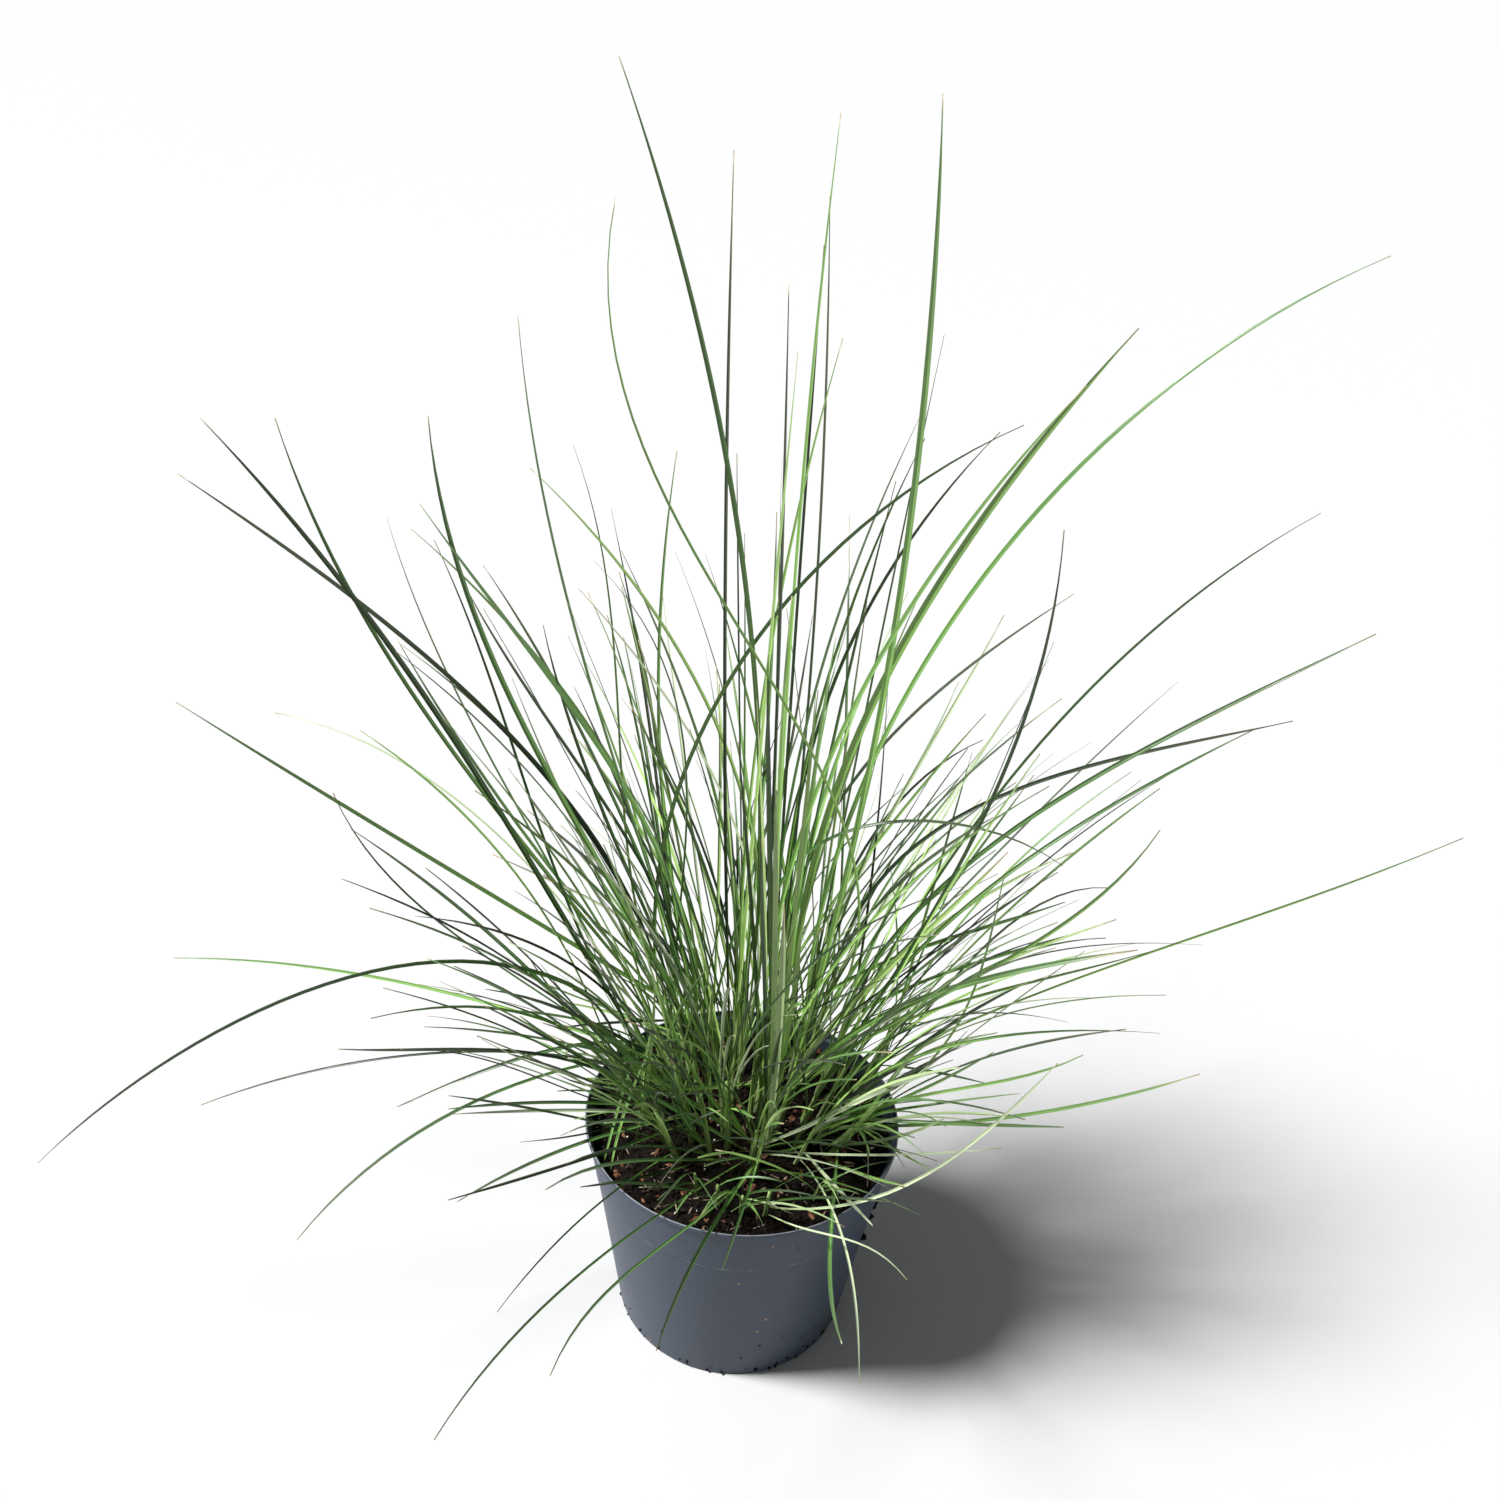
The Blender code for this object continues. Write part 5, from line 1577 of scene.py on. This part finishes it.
def turned_pot():
    """The pot, turned from its profile, with its drain holes cut."""
    across, over = Vector((1, 0, 0)), Vector((0, 1, 0))
    profile = pot_profile()
    rings = [ring(Vector((0, 0, z)), across, over, r, FINE_SIDES) for r, z in profile[1:-1]]
    pot = add_object("nursery_pot", *tube(rings, Vector((0, 0, 0)), Vector((0, 0, FLOOR_THICKNESS))))
    drills = []
    for i in range(DRAIN_COUNT):
        angle = DRAIN_TURN + 2 * math.pi * i / DRAIN_COUNT
        centre = Vector((math.cos(angle), math.sin(angle), 0)) * DRAIN_CIRCLE
        ends = [ring(centre + Vector((0, 0, z)), across, over, DRAIN_RADIUS, 24) for z in (-0.01, 0.02)]
        drills.append(add_object(f"drill_{i}", *tube(ends)))
    return fuse(pot, drills, "DIFFERENCE")


pot = turned_pot()
pot.data.materials.clear()
pot.data.materials.append(plastic)
pot.data.shade_smooth()
pot.data.set_sharp_from_angle(angle=math.radians(50))
keep_piece(pot, "pot")
print("pot:", len(pot.data.polygons), "faces")

# %% [markdown]
# ## Soil on the pot
# Crumbs stick to a pot that has stood on a nursery bench, most of them low down. The scatter that dressed
# the soil is used again, on a narrow strip round the foot instead of on the soil.

# %% Crumbs on the foot
DIRTY_BITS = (
    # name, lowest, highest, from angle, to angle, bits per m2, smallest, largest
    ("foot_crumbs", 0.0022, 0.0090, 0, 360, 22000, 0.5, 2.0),
    ("wall_crumbs", 0.0090, 0.0600, 0, 360, 1900, 0.2, 1.0),
    ("side_clods", 0.0900, 0.1180, -24, -2, 4500, 3.0, 8.0),
)
STRIP_SIDES = 48


def wall_strip(name, low, high, start, stop):
    """A thin strip on the outside of the pot, between two heights and two angles, for crumbs to stick to."""
    vertices = []
    for z in (low, high):
        for i in range(STRIP_SIDES + 1):
            angle = math.radians(start + (stop - start) * i / STRIP_SIDES)
            radius = wall_radius(z) - 0.0001
            vertices.append((radius * math.cos(angle), radius * math.sin(angle), z))
    upper = STRIP_SIDES + 1
    faces = [(i, i + 1, upper + i + 1, upper + i) for i in range(STRIP_SIDES)]
    return add_object(name, vertices, faces)


for seed, (name, low, high, start, stop, density, smallest, largest) in enumerate(DIRTY_BITS):
    strip = wall_strip(name + "_strip", low, high, start, stop)
    crumb = (0.0022, 0.0018, 0.0015)
    crumbs = scatter_bits(name, strip, crumb, 0.7, density, smallest, largest, 1.5, peat, seed + 9, -2.0)
    bpy.data.objects.remove(strip)
    keep_piece(crumbs)

# %% [markdown]
# ## Floor, light and camera
# The floor is plain and pale. A broad sun from the front left models the leaves and leaves soft shadows,
# and a pale sky fills them. The camera stands where the picture was taken from, with the same tilt.

# %% Floor
FLOOR_SIZE = 80.0


def floor_plane():
    """A large pale plane under the pot."""
    half = FLOOR_SIZE / 2
    corners = [(-half, -half, 0), (half, -half, 0), (half, half, 0), (-half, half, 0)]
    mesh = bpy.data.meshes.new("floor")
    mesh.from_pydata([(x, y, -0.0002) for x, y, _ in corners], [], [(0, 1, 2, 3)])
    obj = bpy.data.objects.new("floor", mesh)
    bpy.context.scene.collection.objects.link(obj)
    material, _, shader = new_material("floor_paper", 0.9)
    shader.inputs["Base Color"].default_value = (0.49, 0.49, 0.49, 1.0)
    shader.inputs["Specular IOR Level"].default_value = 0.1
    mesh.materials.append(material)
    return obj


floor_plane()

# %% Light
KEY_STRENGTH = 7.5
KEY_SOFTNESS = math.radians(14)
SKY = (0.96, 0.98, 1.0)
SKY_STRENGTH = 0.20


def sun(name, strength, softness, towards):
    """A broad sun that shines along a direction."""
    light = bpy.data.lights.new(name, "SUN")
    light.energy = strength
    light.angle = softness
    obj = bpy.data.objects.new(name, light)
    obj.rotation_euler = Vector(towards).to_track_quat("-Z", "Y").to_euler()
    bpy.context.scene.collection.objects.link(obj)
    return obj


sun("key", KEY_STRENGTH, KEY_SOFTNESS, (0.95, 0.15, -1.20))
world = bpy.data.worlds.new("sky")
world.use_nodes = True
sky = world.node_tree.nodes["Background"]
sky.inputs["Color"].default_value = (*SKY, 1.0)
seen_directly = add_node(world.node_tree, "ShaderNodeLightPath").outputs["Is Camera Ray"]
world.node_tree.links.new(maths(world.node_tree, "MAXIMUM", seen_directly, SKY_STRENGTH), sky.inputs["Strength"])
bpy.context.scene.world = world
bpy.context.scene.view_settings.view_transform = "Standard"

# %% Camera
SENSOR = 36.0
PICTURE_PX = 1500.0


def make_camera():
    """The camera at the eye, tilted as the picture is."""
    right, up, forward = look_frame()
    c, s = math.cos(HEAD_TILT), math.sin(HEAD_TILT)
    data = bpy.data.cameras.new("camera")
    data.sensor_width = SENSOR
    data.lens = FOCAL_PX / PICTURE_PX * SENSOR
    data.clip_start = 0.01
    data.clip_end = 200.0
    camera = bpy.data.objects.new("camera", data)
    turn = Matrix((right * c - up * s, right * s + up * c, -forward)).transposed()
    camera.matrix_world = Matrix.Translation(EYE) @ turn.to_4x4()
    bpy.context.scene.collection.objects.link(camera)
    return camera


bpy.context.scene.camera = make_camera()
